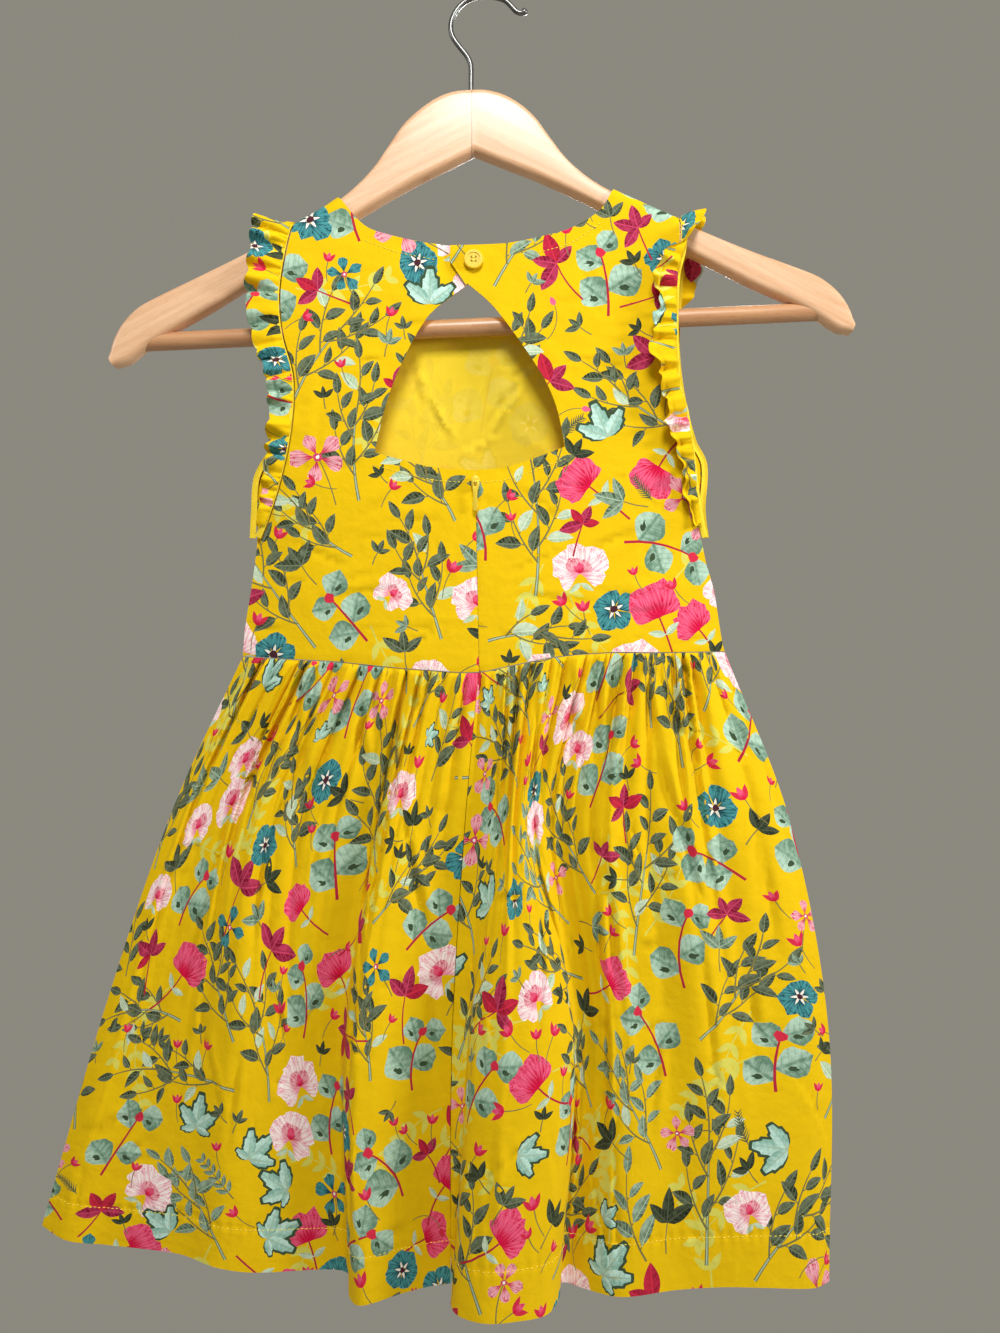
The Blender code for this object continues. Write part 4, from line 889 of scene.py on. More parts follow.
@dataclass
class FlowerPrint:
    """An all-over print of branches, flowers and leaves, drawn on a flat length of cloth.

    The motifs and their layout are plain ones of this script's own, thrown at random where there is room.
    """

    low: tuple[float, float]
    high: tuple[float, float]
    seed: int

    def draw(self) -> list[Shape]:
        """All its shapes, from the bottom layer up."""
        rng = np.random.default_rng(self.seed)
        sprig = Sprig(rng)
        area = (self.high[0] - self.low[0]) * (self.high[1] - self.low[1]) / 100 / PRINT_SCALE**2
        shapes: list[Shape] = []
        for _ in range(int(area * GHOSTS_FOR_EACH_CM2)):
            shapes += sprig.ghost_branch(self.spot(rng), rng.uniform(0, 2 * np.pi), rng.uniform(34, 50), 0.6)
        taken = np.zeros((0, 3))
        for rows, darts in zip(PRINT_PLAN, DARTS_FOR_EACH_CM2):
            for _ in range(int(area * darts)):
                row = rows[rng.integers(len(rows))]
                at, angle = self.spot(rng), UPRIGHT + rng.normal(0, 0.75)
                size, bend = rng.uniform(row.least, row.most), rng.uniform(-0.9, 0.9)
                rings = self.rings(row, at, angle, size, bend)
                gaps = np.hypot(*(rings[:, None, :2] - taken[None, :, :2]).transpose(2, 0, 1))
                if (gaps < (rings[:, None, 2] + taken[None, :, 2]) * PRINT_CROWDING).any():
                    continue
                taken = np.concatenate([taken, rings])
                words = (at, angle, size, bend) if row.long else (at, angle, size)
                shapes += getattr(sprig, row.motif)(*words)
        return [s._replace(outline=s.outline * PRINT_SCALE, origin=s.origin * PRINT_SCALE,
                           length=s.length * PRINT_SCALE, half=s.half * PRINT_SCALE) for s in shapes]

    def spot(self, rng: np.random.Generator) -> Array:
        """A random place on the cloth."""
        return np.array([rng.uniform(self.low[k], self.high[k]) / PRINT_SCALE for k in (0, 1)])

    @staticmethod
    def rings(row: PlanRow, at: Array, angle: float, size: float, bend: float) -> Array:
        """The circles that a motif needs to itself."""
        if not row.long:
            return np.array([[*at, row.room]])
        path, _ = arc(at, angle, size, bend, 6)
        return np.concatenate([path, np.full((6, 1), row.room)], axis=1)


# Cloth pieces

NARROWEST_SHEET = 10.0


def grown_outline(*lines: Sequence[tuple[float, float]]) -> Line:
    """One outline from lines that meet, with points that fall together left out."""
    outline: Line = []
    for line in lines:
        for p in line:
            if not outline or np.hypot(p[0] - outline[-1][0], p[1] - outline[-1][1]) > 0.4:
                outline.append((float(p[0]), float(p[1])))
    if np.hypot(outline[0][0] - outline[-1][0], outline[0][1] - outline[-1][1]) <= 0.4:
        outline.pop()
    return outline


def signed_area(ring: Array) -> float:
    """The area inside a flat ring of points, below zero if it runs clockwise."""
    after = np.roll(ring, -1, axis=0)
    return float((ring[:, 0] * after[:, 1] - after[:, 0] * ring[:, 1]).sum()) / 2


def flat_area(outline: Line) -> float:
    """The area inside a flat outline."""
    return abs(signed_area(np.array(outline)))


def counter_clockwise(ring: Array) -> Array:
    """A flat ring of points, turned round if it runs clockwise."""
    return ring if signed_area(ring) > 0 else ring[::-1]


def fill(rings: Sequence[Array], inner: Array) -> tuple[Array, Array, Array]:
    """Triangles inside the first ring, with every ring's edge and every inner point in them.

    Args:
        rings: The outline, and then the rings that are cut into it, from the bottom one up.
        inner: More points inside it.

    Returns:
        The flat points, which start with the outline's own, the triangles, and each triangle's topmost ring.
    """
    loops = [counter_clockwise(np.asarray(ring, float)) for ring in rings]
    flat = np.concatenate(loops + [inner])
    starts = np.cumsum([0] + [len(loop) for loop in loops])
    lists = [list(range(a, b)) for a, b in zip(starts, starts[1:])]
    made = delaunay_2d_cdt([Vector(p) for p in flat.tolist()], [], lists, 1, 1e-4)
    points = np.array([(p.x, p.y) for p in made[0]])
    inside = [(face, max(cover)) for face, cover in zip(made[2], made[5]) if 0 in cover]
    faces = np.array([face for face, _ in inside])
    covers = np.array([cover for _, cover in inside])
    a, b, c = (points[faces[:, k]] for k in range(3))
    twice = (b[:, 0] - a[:, 0]) * (c[:, 1] - a[:, 1]) - (b[:, 1] - a[:, 1]) * (c[:, 0] - a[:, 0])
    faces[twice < 0] = faces[twice < 0][:, ::-1]
    used, faces = np.unique(faces, return_inverse=True)
    return points[used], faces.reshape(-1, 3), covers


def ring_of(edges: Array) -> Array:
    """The points of a closed ring in order, from its edges."""
    after = {int(a): int(b) for a, b in edges}
    start = here = int(edges[0, 0])
    ring = []
    while not ring or here != start:
        ring.append(here)
        here = after[here]
    return np.array(ring)


def lattice(outline: Sequence[tuple[float, float]], step: float) -> Array:
    """Points in staggered rows inside an outline, and clear of it."""
    ring = np.array(outline)
    low, high = ring.min(0), ring.max(0)
    rows = []
    for i, z in enumerate(np.arange(low[1] + step * 0.4, high[1], step * 0.87)):
        xs = np.arange(low[0] + step * 0.5 * (i % 2), high[0], step)
        rows.append(np.stack([xs, np.full(len(xs), z)], axis=1))
    points = np.concatenate(rows)
    a, b = ring, np.roll(ring, -1, axis=0)
    crosses = (a[None, :, 1] > points[:, None, 1]) != (b[None, :, 1] > points[:, None, 1])
    rise = np.where(b[:, 1] == a[:, 1], 1e-9, b[:, 1] - a[:, 1])
    at_x = a[None, :, 0] + (b - a)[None, :, 0] * (points[:, None, 1] - a[None, :, 1]) / rise[None, :]
    within = (crosses & (points[:, None, 0] < at_x)).sum(1) % 2 == 1
    points = points[within]
    run = np.maximum(((b - a) ** 2).sum(1), 1e-9)
    t = np.clip(((points[:, None] - a[None]) * (b - a)[None]).sum(2) / run, 0, 1)
    gap = np.hypot(*(points[:, None] - a[None] - t[..., None] * (b - a)[None]).transpose(2, 0, 1)).min(1)
    return points[gap > step * 0.45]


def in_scene(name: str, data: bpy.types.ID) -> bpy.types.Object:
    """A new object, linked to the scene."""
    made = bpy.data.objects.new(name, data)
    bpy.context.scene.collection.objects.link(made)
    return made


@dataclass
class ClothPiece:
    """One cut piece of cloth, as a thin shell on its hanging form, with its print cut into the mesh.

    Each printed shape is an outline in the flat triangulation, so its edge is sharp. The faces inside it
    carry its two inks and its own coordinates, from which the material draws veins and washes.
    """

    name: str
    slot: str
    outline: Line
    inner: Array
    form: FlatForm
    outward: int
    face: Material
    wrong_side: Material
    held: str
    rests_on: str
    shapes: list[Shape] = field(default_factory=list)
    thickness: float = 0.5
    rectangle: bool = True
    both_printed: bool = False

    def printed_faces(self) -> tuple[Array, Array, Array]:
        """Fills the outline, with each printed shape cut into it.

        Returns:
            The flat points, the triangles, and for each triangle its topmost shape, or -1.
        """
        ring = np.array(self.outline)
        low, high = ring.min(0), ring.max(0)
        kept = [i for i, s in enumerate(self.shapes)
                if (s.outline.max(0) > low).all() and (s.outline.min(0) < high).all()]
        points, faces, covers = fill([ring] + [self.shapes[i].outline for i in kept], self.inner)
        return points, faces, np.array([-1] + kept)[covers]

    def lay(self, flat: Array) -> tuple[Array, Array]:
        """Flat points on the hanging form, and the way that the cloth faces there."""
        u, v = flat.T
        step = 0.25
        across = self.form(u + step, v) - self.form(u - step, v)
        up = self.form(u, v + step) - self.form(u, v - step)
        normal = np.cross(across, up) * self.outward
        normal /= np.maximum(np.linalg.norm(normal, axis=1)[:, None], 1e-9)
        return self.form(u, v), normal

    def build(self) -> None:
        """Makes the shell and rides it on the garment.

        The wrong side shares the face's edge points. Within, it has only plain ones, unless it is printed.
        """
        flat, faces, tops = self.printed_faces()
        edges = np.concatenate([faces[:, [0, 1]], faces[:, [1, 2]], faces[:, [2, 0]]])
        _, first, times = np.unique(np.sort(edges, axis=1), axis=0, return_index=True, return_counts=True)
        rim = edges[first[times == 1]]
        if self.both_printed:
            back_flat, back_faces, back_tops, twin = flat, faces, tops, np.arange(len(flat))
        else:
            loop = ring_of(rim)
            back_flat, back_faces, _ = fill([flat[loop]], self.inner)
            back_tops = np.full(len(back_faces), -1)
            twin = np.full(len(flat), -1)
            twin[loop] = np.arange(len(loop))
        middle, normal = self.lay(flat)
        back_middle, back_normal = self.lay(back_flat)
        half, count = self.thickness / 2, len(flat)
        verts = np.concatenate([middle + normal * half, back_middle - back_normal * half]) * MM
        quads = np.stack([rim[:, 1], rim[:, 0], twin[rim[:, 0]] + count, twin[rim[:, 1]] + count], axis=1)
        if self.outward < 0:
            faces, back_faces, quads = faces[:, ::-1], back_faces[:, ::-1], quads[:, ::-1]
        every = faces.tolist() + (back_faces[:, ::-1] + count).tolist() + quads.tolist()
        mesh = bpy.data.meshes.new(self.name + "_cloth")
        mesh.from_pydata(verts.tolist(), [], every)
        both = np.concatenate([flat, back_flat])
        corners = np.concatenate([faces.ravel(), (back_faces[:, ::-1] + count).ravel(), quads.ravel()])
        corner_tops = np.concatenate([np.repeat(tops, 3), np.repeat(back_tops, 3), np.full(quads.size, -1)])
        self.paint(mesh, both[corners], corner_tops)
        mesh.materials.append(self.face)
        mesh.materials.append(self.wrong_side)
        slots = np.zeros(len(every), np.int32)
        slots[len(faces):len(faces) + len(back_faces)] = 1
        mesh.polygons.foreach_set("material_index", slots)
        mesh.polygons.foreach_set("use_smooth", np.ones(len(every), bool))
        mesh.normals_split_custom_set_from_vertices(np.concatenate([normal, -back_normal]).tolist())
        mesh.update()
        obj = in_scene(self.name + "_cloth", mesh)
        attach(obj, GARMENT)
        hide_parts(self.name)
        wide, tall = (float(side) for side in np.ptp(self.outline, axis=0))
        if min(wide, tall) > NARROWEST_SHEET:
            area = None if self.rectangle else flat_area(self.outline) * MM * MM
        LOG.info("%s: %d triangles", self.name, len(faces) + len(back_faces) + 2 * len(quads))

    def paint(self, mesh: bpy.types.Mesh, flat: Array, tops: Array) -> None:
        """Writes the cloth's flat coordinates and, at each corner, the print that covers it.

        Args:
            mesh: The shell's mesh.
            flat: The flat place of each face corner.
            tops: The topmost shape there, or -1.
        """
        uv = mesh.uv_layers.new(name="cloth")
        uv.data.foreach_set("uv", (flat * MM).astype(np.float32).ravel())
        bare = (0.0, 0.0, 0.0, 0.0)
        inks = np.array([linear(shape.ink.light) for shape in self.shapes] + [bare])
        deeps = np.array([linear(shape.ink.deep) for shape in self.shapes] + [bare])
        origins = np.array([shape.origin for shape in self.shapes] + [(0.0, 0.0)])
        sizes = [(shape.angle, shape.length, shape.half, shape.drawn.value) for shape in self.shapes]
        angle, length, half, drawn = np.array(sizes + [(0, 1, 1, 0)])[tops].T
        x, y = (flat - origins[tops]).T
        along = (x * np.cos(angle) + y * np.sin(angle)) / length
        across = (-x * np.sin(angle) + y * np.cos(angle)) / half
        for name, kind, word, values in (
            ("ink", "FLOAT_COLOR", "color", inks[tops]),
            ("ink_deep", "FLOAT_COLOR", "color", deeps[tops]),
            ("motif", "FLOAT_VECTOR", "vector", np.stack([along, across, drawn], axis=1)),
        ):
            layer = mesh.attributes.new(name, kind, "CORNER")
            layer.data.foreach_set(word, values.astype(np.float32).ravel())


# Materials


@dataclass
class Graph:
    """A node tree, with one way to add a node."""

    tree: bpy.types.NodeTree

    def add(self, kind: str, inputs: dict | None = None, **settings: object) -> bpy.types.Node:
        """Adds a node.

        Args:
            kind: Its Blender type.
            inputs: A value, a node or an output socket for each input that is set, by name or number.
            settings: Its own properties.

        Returns:
            The node.
        """
        node = self.tree.nodes.new(kind)
        for key, value in settings.items():
            setattr(node, key, value)
        self.set(node, inputs or {})
        return node

    def set(self, node: bpy.types.Node, inputs: dict) -> None:
        """Sets a node's inputs, each to a value, or links it to a node or an output socket."""
        for key, value in inputs.items():
            if isinstance(value, bpy.types.Node):
                value = value.outputs[0]
            if isinstance(value, bpy.types.NodeSocket):
                self.tree.links.new(value, node.inputs[key])
            else:
                node.inputs[key].default_value = value


def new_material(name: str) -> tuple[Material, Graph, bpy.types.Node]:
    """A material with its graph and its surface shader."""
    made = bpy.data.materials.new(name)
    made.use_nodes = True
    made.node_tree.nodes.clear()
    graph = Graph(made.node_tree)
    surface = graph.add("ShaderNodeBsdfPrincipled")
    graph.add("ShaderNodeOutputMaterial", {"Surface": surface})
    return made, graph, surface


# A wave texture has 20 bands to each unit at a scale of 1, and its coordinates are in metres.
WAVES_TO_METRE = 1 / MM / 20


@dataclass(frozen=True)
class CottonLawn:
    """Light plain-weave cotton, a little crumpled: it gives the eye a matt, warm yellow with soft folds.

    Its threads are about 0.3 mm wide, which no picture of the whole dress shows, so they are drawn at 0.9 mm.
    """

    name: str
    ground: str = "#ECC406"
    ground_deep: str = "#E3B805"
    print_strength: float = 1.0
    weave_mm: float = 0.9
    crumple_mm: float = 13.0
    crumple_strength: float = 0.55

    def make(self) -> Material:
        """The material."""
        made, g, surface = new_material(self.name)
        uv = g.add("ShaderNodeUVMap", uv_map="cloth")
        motif = g.add("ShaderNodeAttribute", attribute_name="motif")
        ink = g.add("ShaderNodeAttribute", attribute_name="ink")
        deep = g.add("ShaderNodeAttribute", attribute_name="ink_deep")
        place = g.add("ShaderNodeSeparateXYZ", {0: motif.outputs["Vector"]})
        along, across, kind = place.outputs
        out = g.add(MATH, {0: across}, operation="ABSOLUTE")
        blot = g.add(NOISE, {"Vector": uv, "Scale": 330.0, "Detail": 2.0})
        rib = g.add(RANGE, {0: out, 1: 0.05, 2: 0.14, 3: 1.0, 4: 0.0})
        slant = g.add(MATH, {0: out, 1: -0.16}, operation="MULTIPLY")
        bent = g.add(MATH, {0: along, 1: slant}, operation="ADD")
        beat = g.add(MATH, {0: bent, 1: 6.0}, operation="MULTIPLY")
        wave = g.add(MATH, {0: beat, 1: 0.5}, operation="PINGPONG")
        vein = g.add(RANGE, {0: wave, 1: 0.03, 2: 0.14, 3: 0.75, 4: 0.0})
        lines = g.add(MATH, {0: rib, 1: vein}, operation="MAXIMUM")
        half = g.add(RANGE, {0: across, 1: -0.3, 2: 0.75, 3: 0.0, 4: 0.5})
        mottle = g.add(RANGE, {0: blot, 1: 0.36, 2: 0.64, 3: -0.05, 4: 0.4})
        toned = g.add(MATH, {0: half, 1: mottle}, operation="ADD")
        leaf = g.add(MATH, {0: lines, 1: toned}, operation="MAXIMUM")
        stretched = g.add(VECTOR, {0: motif.outputs["Vector"], 1: (1.1, 4.0, 0.0)},
                          operation="MULTIPLY")
        streak = g.add(NOISE, {"Vector": stretched, "Scale": 1.6, "Detail": 2.0})
        streaks = g.add(RANGE, {0: streak, 1: 0.42, 2: 0.6, 3: 0.0, 4: 0.75})
        grade = g.add(RANGE, {0: along, 1: 0.1, 2: 0.62, 3: 0.0, 4: 1.2})
        brushed = g.add(MATH, {0: grade, 1: streaks}, operation="SUBTRACT", use_clamp=True)
        speck = g.add(NOISE, {"Vector": uv, "Scale": 900.0, "Detail": 1.0})
        specks = g.add(RANGE, {0: speck, 1: 0.56, 2: 0.6, 3: 0.0, 4: 0.8})
        rim = g.add(RANGE, {0: along, 1: 0.62, 2: 0.85, 3: 0.0, 4: 1.0})
        rim_specks = g.add(MATH, {0: specks, 1: rim}, operation="MULTIPLY")
        petal = g.add(MATH, {0: brushed, 1: rim_specks}, operation="SUBTRACT", use_clamp=True)
        shade = g.add(RANGE, {0: across, 1: -0.8, 2: 0.5, 3: 0.15, 4: 1.0})
        blots = g.add(RANGE, {0: blot, 1: 0.35, 2: 0.65, 3: -0.3, 4: 0.15})
        ribbed = g.add(MATH, {0: lines, 1: -0.4}, operation="MULTIPLY")
        veined = g.add(MATH, {0: blots, 1: ribbed}, operation="ADD")
        wash = g.add(MATH, {0: shade, 1: veined}, operation="ADD", use_clamp=True)
        tone: bpy.types.Node | float = 1.0
        for drawn, value in ((Drawn.LEAF, leaf), (Drawn.PETAL, petal), (Drawn.WASH, wash)):
            chosen = g.add(MATH, {0: kind, 1: drawn.value, 2: 0.2}, operation="COMPARE")
            tone = g.add(MIX, {0: chosen, 2: tone, 3: value}, data_type="FLOAT")
        inked = g.add(MIX, {0: tone, 6: deep.outputs["Color"], 7: ink.outputs["Color"]},
                      data_type="RGBA")
        dyed = g.add(NOISE, {"Vector": uv, "Scale": 26.0, "Detail": 3.0})
        ground = g.add(MIX, {0: dyed, 6: linear(self.ground), 7: linear(self.ground_deep)},
                       data_type="RGBA")
        cover = g.add(MATH, {0: ink.outputs["Alpha"], 1: self.print_strength}, operation="MULTIPLY")
        colour = g.add(MIX, {0: cover, 6: ground.outputs[2], 7: inked.outputs[2]}, data_type="RGBA")
        weave = {"Vector": uv, "Scale": WAVES_TO_METRE / self.weave_mm, "Distortion": 0.6}
        warp, weft = (g.add("ShaderNodeTexWave", weave, bands_direction=way) for way in "XY")
        threads = g.add(MATH, {0: warp.outputs["Fac"], 1: weft.outputs["Fac"]}, operation="ADD")
        crumple = g.add(NOISE, {"Vector": uv, "Scale": 1 / MM / self.crumple_mm, "Detail": 3.0})
        soft = g.add("ShaderNodeBump",
                     {"Height": crumple, "Strength": self.crumple_strength, "Distance": 1.8 * MM})
        woven = g.add("ShaderNodeBump",
                      {"Height": threads, "Strength": 0.25, "Distance": 0.06 * MM, "Normal": soft})
        g.set(surface, {
            "Base Color": colour.outputs[2], "Normal": woven, "Roughness": 0.86, "Specular IOR Level": 0.12,
            "Sheen Weight": 0.06, "Sheen Roughness": 0.5, "Sheen Tint": linear("#FFE070"),
        })
        return made


@dataclass(frozen=True)
class Beech:
    """Clear-lacquered beech: it gives the eye a warm pinkish brown with fine darker flecks along each arm."""

    name: str
    light: str = "#E8BE98"
    deep: str = "#CF9D73"
    slope: float = 27.0
    joint_strength: float = 0.6

    def make(self) -> Material:
        """The material. The grain follows each arm, so it turns with the side of the hanger's middle."""
        made, g, surface = new_material(self.name)
        place = g.add("ShaderNodeTexCoord").outputs["Object"]
        parts = g.add("ShaderNodeSeparateXYZ", {0: place})
        side = g.add(MATH, {0: parts.outputs[0], 1: -HANGER_TOP.x * MM}, operation="ADD")
        out = g.add(MATH, {0: side}, operation="ABSOLUTE")
        c, s = float(np.cos(np.radians(self.slope))), float(np.sin(np.radians(self.slope)))
        down_arm = g.add("ShaderNodeCombineXYZ", {0: out, 1: parts.outputs[1], 2: parts.outputs[2]})
        along = g.add(VECTOR, {0: down_arm, 1: (c, 0, -s)}, operation="DOT_PRODUCT")
        across = g.add(VECTOR, {0: down_arm, 1: (s, 0, c)}, operation="DOT_PRODUCT")
        hand = g.add(MATH, {0: side}, operation="SIGN")
        grain = g.add("ShaderNodeCombineXYZ",
                      {0: along.outputs["Value"], 1: across.outputs["Value"], 2: hand})
        long = g.add(VECTOR, {0: grain, 1: (14.0, 260.0, 1.0)}, operation="MULTIPLY")
        lines = g.add(NOISE, {"Vector": long, "Scale": 1.0, "Detail": 4.0, "Roughness": 0.55})
        short = g.add(VECTOR, {0: grain, 1: (160.0, 1500.0, 1.0)}, operation="MULTIPLY")
        flecks = g.add(NOISE, {"Vector": short, "Scale": 1.0, "Detail": 1.0})
        fleck = g.add(RANGE, {0: flecks, 1: 0.62, 2: 0.72, 3: 0.0, 4: 0.45})
        tone = g.add(RANGE, {0: lines, 1: 0.3, 2: 0.7, 3: 0.0, 4: 0.85})
        both = g.add(MATH, {0: tone, 1: fleck}, operation="ADD", use_clamp=True)
        wood = g.add(MIX, {0: both, 6: linear(self.light), 7: linear(self.deep)}, data_type="RGBA")
        joint = g.add(RANGE, {0: out, 1: 0.15 * MM, 2: 0.45 * MM, 3: self.joint_strength, 4: 0.0})
        colour = g.add(MIX, {0: joint, 6: wood.outputs[2], 7: linear("#6E4A30")}, data_type="RGBA")
        g.set(surface, {"Base Color": colour.outputs[2], "Roughness": 0.38, "Coat Weight": 0.25,
                        "Coat Roughness": 0.25})
        return made


@dataclass(frozen=True)
class PlainFinish:
    """A finish of one colour, described by its material's name."""

    name: str
    colour: str
    roughness: float
    metallic: float = 0.0
    coat: float = 0.0

    def make(self) -> Material:
        """The material."""
        made, g, surface = new_material(self.name)
        g.set(surface, {"Base Color": linear(self.colour), "Roughness": self.roughness,
                        "Metallic": self.metallic, "Coat Weight": self.coat})
        return made


# Drawn steel wire, a little dulled: a grey metal with a soft line of light along it.
STEEL_WIRE = PlainFinish("drawn_steel_wire", "#6E6E6C", 0.36, 1.0)
# Spun polyester thread: matt, and a little paler than the cloth.
THREAD = PlainFinish("yellow_polyester_thread", "#F6DC4E", 0.6)
# Zinc under stoved enamel: a hard, even gloss.
ENAMELLED_ZINC = PlainFinish("yellow_enamelled_zinc", "#F2D23A", 0.28, 0.25, 0.6)
# Moulded polyester: a smooth gloss, a little deeper in tone than the cloth.
BUTTON = PlainFinish("yellow_polyester_button", "#EFC524", 0.3, 0.0, 0.5)
# Woven polyester tape: matt.
ZIP_TAPE = PlainFinish("yellow_zip_tape", "#E3BE2C", 0.8)
# Matt paint on the studio's floor.
FLOOR_PAINT = PlainFinish("floor_paint", "#C9C5BB", 0.8)


# The dress


def outline_back(left: bool) -> Line:
    """The flat outline of a back bodice panel."""
    neck_x, end_x = (NECK_LEFT_X, SHOULDER_LEFT_X) if left else (NECK_RIGHT_X, SHOULDER_RIGHT_X)
    way = -1 if left else 1
    neck_top = (neck_x, float(shoulder_height(neck_x)) - SEAM_GAP)
    shoulder_end = (end_x, float(shoulder_height(end_x)) - SEAM_GAP)
    centre_top = (CENTRE_TOP.x + way * SEAM_GAP / 2, CENTRE_TOP.z)
    centre_foot = (CENTRE_WAIST_X + way * SEAM_GAP / 2, float(waist_z(CENTRE_WAIST_X)) + SEAM_GAP)
    side = side_line(left)
    if left:
        neck, cut, corner = NECK_BACK_LEFT, CUT_LEFT, CUT_LEFT_CORNER
        floor, hole = CUT_FLOOR_LEFT, ARMHOLE_LEFT
        lap = [(UNDERLAP_X, -148.6), (UNDERLAP_X, UNDERLAP_Z)]
    else:
        neck, cut, corner = NECK_BACK_RIGHT, CUT_RIGHT, CUT_RIGHT_CORNER
        floor, hole = CUT_FLOOR_RIGHT, ARMHOLE_RIGHT
        lap = [(NAPE_LAP_X, -148.9), (NAPE_LAP_X, NAPE_LAP_Z), (APEX.x - 1.0, APEX.z - 0.6)]
    return grown_outline(
        shoulder_line(end_x, neck_x), smooth_line([neck_top] + neck, 4), lap,
        smooth_line([APEX] + cut + [corner], 4), smooth_line([corner] + floor + [centre_top], 4),
        smooth_line([centre_top, centre_foot], 4), waist_line(centre_foot[0], side[-1][0]), side[::-1],
        smooth_line([side[0]] + hole[::-1] + [shoulder_end], 4),
    )


def shoulder_line(x_from: float, x_to: float) -> Line:
    """The shoulder seam, flat, half a gap short of the seam."""
    xs = np.linspace(x_from, x_to, max(3, round(abs(x_to - x_from) / 3)))
    return list(zip(xs, shoulder_height(xs) - SEAM_GAP))


def side_line(left: bool) -> Line:
    """The side seam from its top down to just above the waist."""
    name = "left" if left else "right"
    foot = getattr(BODY[-1], name)
    zs = np.array([SIDE_TOP_Z, -334, -342, -350, -358, -366, -374, -382])
    return list(zip(body_at(zs, name), zs)) + [(foot, float(waist_z(foot)) + SEAM_GAP)]


def waist_line(x_from: float, x_to: float) -> Line:
    """The waist seam, half a gap above it."""
    xs = np.linspace(x_from, x_to, max(3, round(abs(x_to - x_from) / 4)))
    return list(zip(xs, waist_z(xs) + SEAM_GAP))


def outline_front() -> Line:
    """The flat outline of the front bodice."""
    ends = [(x, float(shoulder_height(x)) - SEAM_GAP)
            for x in (NECK_LEFT_X, NECK_RIGHT_X, SHOULDER_LEFT_X, SHOULDER_RIGHT_X)]
    left, right = side_line(True), side_line(False)
    return grown_outline(
        shoulder_line(SHOULDER_LEFT_X, NECK_LEFT_X), smooth_line([ends[0]] + NECK_FRONT + [ends[1]], 4),
        shoulder_line(NECK_RIGHT_X, SHOULDER_RIGHT_X),
        smooth_line([ends[3]] + ARMHOLE_FRONT_RIGHT + [right[0]], 4), right,
        waist_line(right[-1][0], left[-1][0]), left[::-1],
        smooth_line([left[0]] + ARMHOLE_FRONT_LEFT[::-1] + [ends[2]], 4),
    )


def outline_lining(front: Sequence[tuple[float, float]]) -> Line:
    """The front's outline, ended under the hanger's arms and kept clear of the side seams."""
    kept = []
    for (ax, az), (bx, bz) in zip(front, list(front[1:]) + [front[0]]):
        cut_a, cut_b = float(arm_top(ax)) - LINING_UNDER_ARM, float(arm_top(bx)) - LINING_UNDER_ARM
        if az <= cut_a:
            kept.append((ax, az))
        if (az > cut_a) != (bz > cut_b):
            part = (cut_a - az) / ((bz - az) - (cut_b - cut_a))
            kept.append((ax + (bx - ax) * part, az + (bz - az) * part))
    flat = np.array(kept)
    room = LINING_SIDE_ROOM * np.clip((LINING_ROOM_FROM - flat[:, 1]) / LINING_ROOM_FADE, 0, 1)
    low, high = body_at(flat[:, 1], "left") + room, body_at(flat[:, 1], "right") - room
    return grown_outline(list(zip(np.clip(flat[:, 0], low, high), flat[:, 1])))


BACK_CREASES = rows_of(
    CreaseRow,
    (-70, -352, 8, 70, 3.5, 0.9), (-96, -330, -24, 50, 3.0, 0.7), (-60, -300, 38, 60, 4.0, 0.7),
    (-30, -372, 4, 46, 3.0, 0.8), (-84, -196, 78, 60, 4.5, 0.6), (-97, -250, 84, 70, 4.0, 0.6),
    (40, -356, -6, 64, 3.2, 0.9), (74, -322, 28, 56, 3.6, 0.8), (30, -300, -34, 48, 3.6, 0.7),
    (88, -364, 10, 60, 3.0, 0.9), (84, -214, -72, 66, 4.5, 0.6), (62, -170, -50, 44, 4.0, 0.5),
    (100, -290, -80, 50, 3.5, 0.6), (18, -340, 62, 36, 2.8, 0.6), (-24, -335, -66, 40, 2.8, 0.6),
)
FRONT_CREASES = rows_of(
    CreaseRow,
    (-40, -300, 34, 120, 6.0, 1.1), (30, -262, -38, 90, 5.0, 0.9), (0, -340, 12, 130, 5.0, 0.9),
    (-70, -350, -18, 80, 4.0, 0.9), (80, -340, 20, 80, 4.0, 0.9), (10, -232, 60, 60, 5.0, 0.7),
    (-60, -240, 70, 70, 5.0, 0.7), (70, -250, -66, 70, 5.0, 0.7),
)


def seam_dip(x: Array, height: Array) -> Array:
    """How far a bodice panel turns in at the waist seam."""
    return 0.55 * np.exp(-(((height - waist_z(x)) / 1.6) ** 2))


def creased(x: Array, height: Array, *tables: Sequence[CreaseRow]) -> Array:
    """A bodice panel's creases, which end under the shoulder and are weak at the waist seam."""
    lift = sum(troughs(x, height, rows) for rows in tables)
    under_shoulder = np.clip((arm_top(x) - 12 - height) / 20, 0, 1)
    return lift * under_shoulder * np.clip((waist_z(x) - height) / -8, 0.2, 1)


def under_lap(x: Array, height: Array) -> Array:
    """How far the left back steps in, under the right one, at the nape."""
    across = eased((x - NAPE_LAP_X + UNDERLAP_START) / UNDERLAP_RUN)
    fade = np.clip((height - APEX.z + UNDERLAP_BELOW_APEX) / UNDERLAP_FADE, 0, 1)
    return UNDERLAP_STEP * across * fade


def centre_seam(height: Array) -> tuple[Array, Array]:
    """How far down the centre-back seam a height lies, as a share, and where the seam runs there."""
    share = (height - CENTRE_TOP.z) / (float(waist_z(CENTRE_WAIST_X)) - CENTRE_TOP.z)
    return share, CENTRE_TOP.x + (CENTRE_WAIST_X - CENTRE_TOP.x) * share


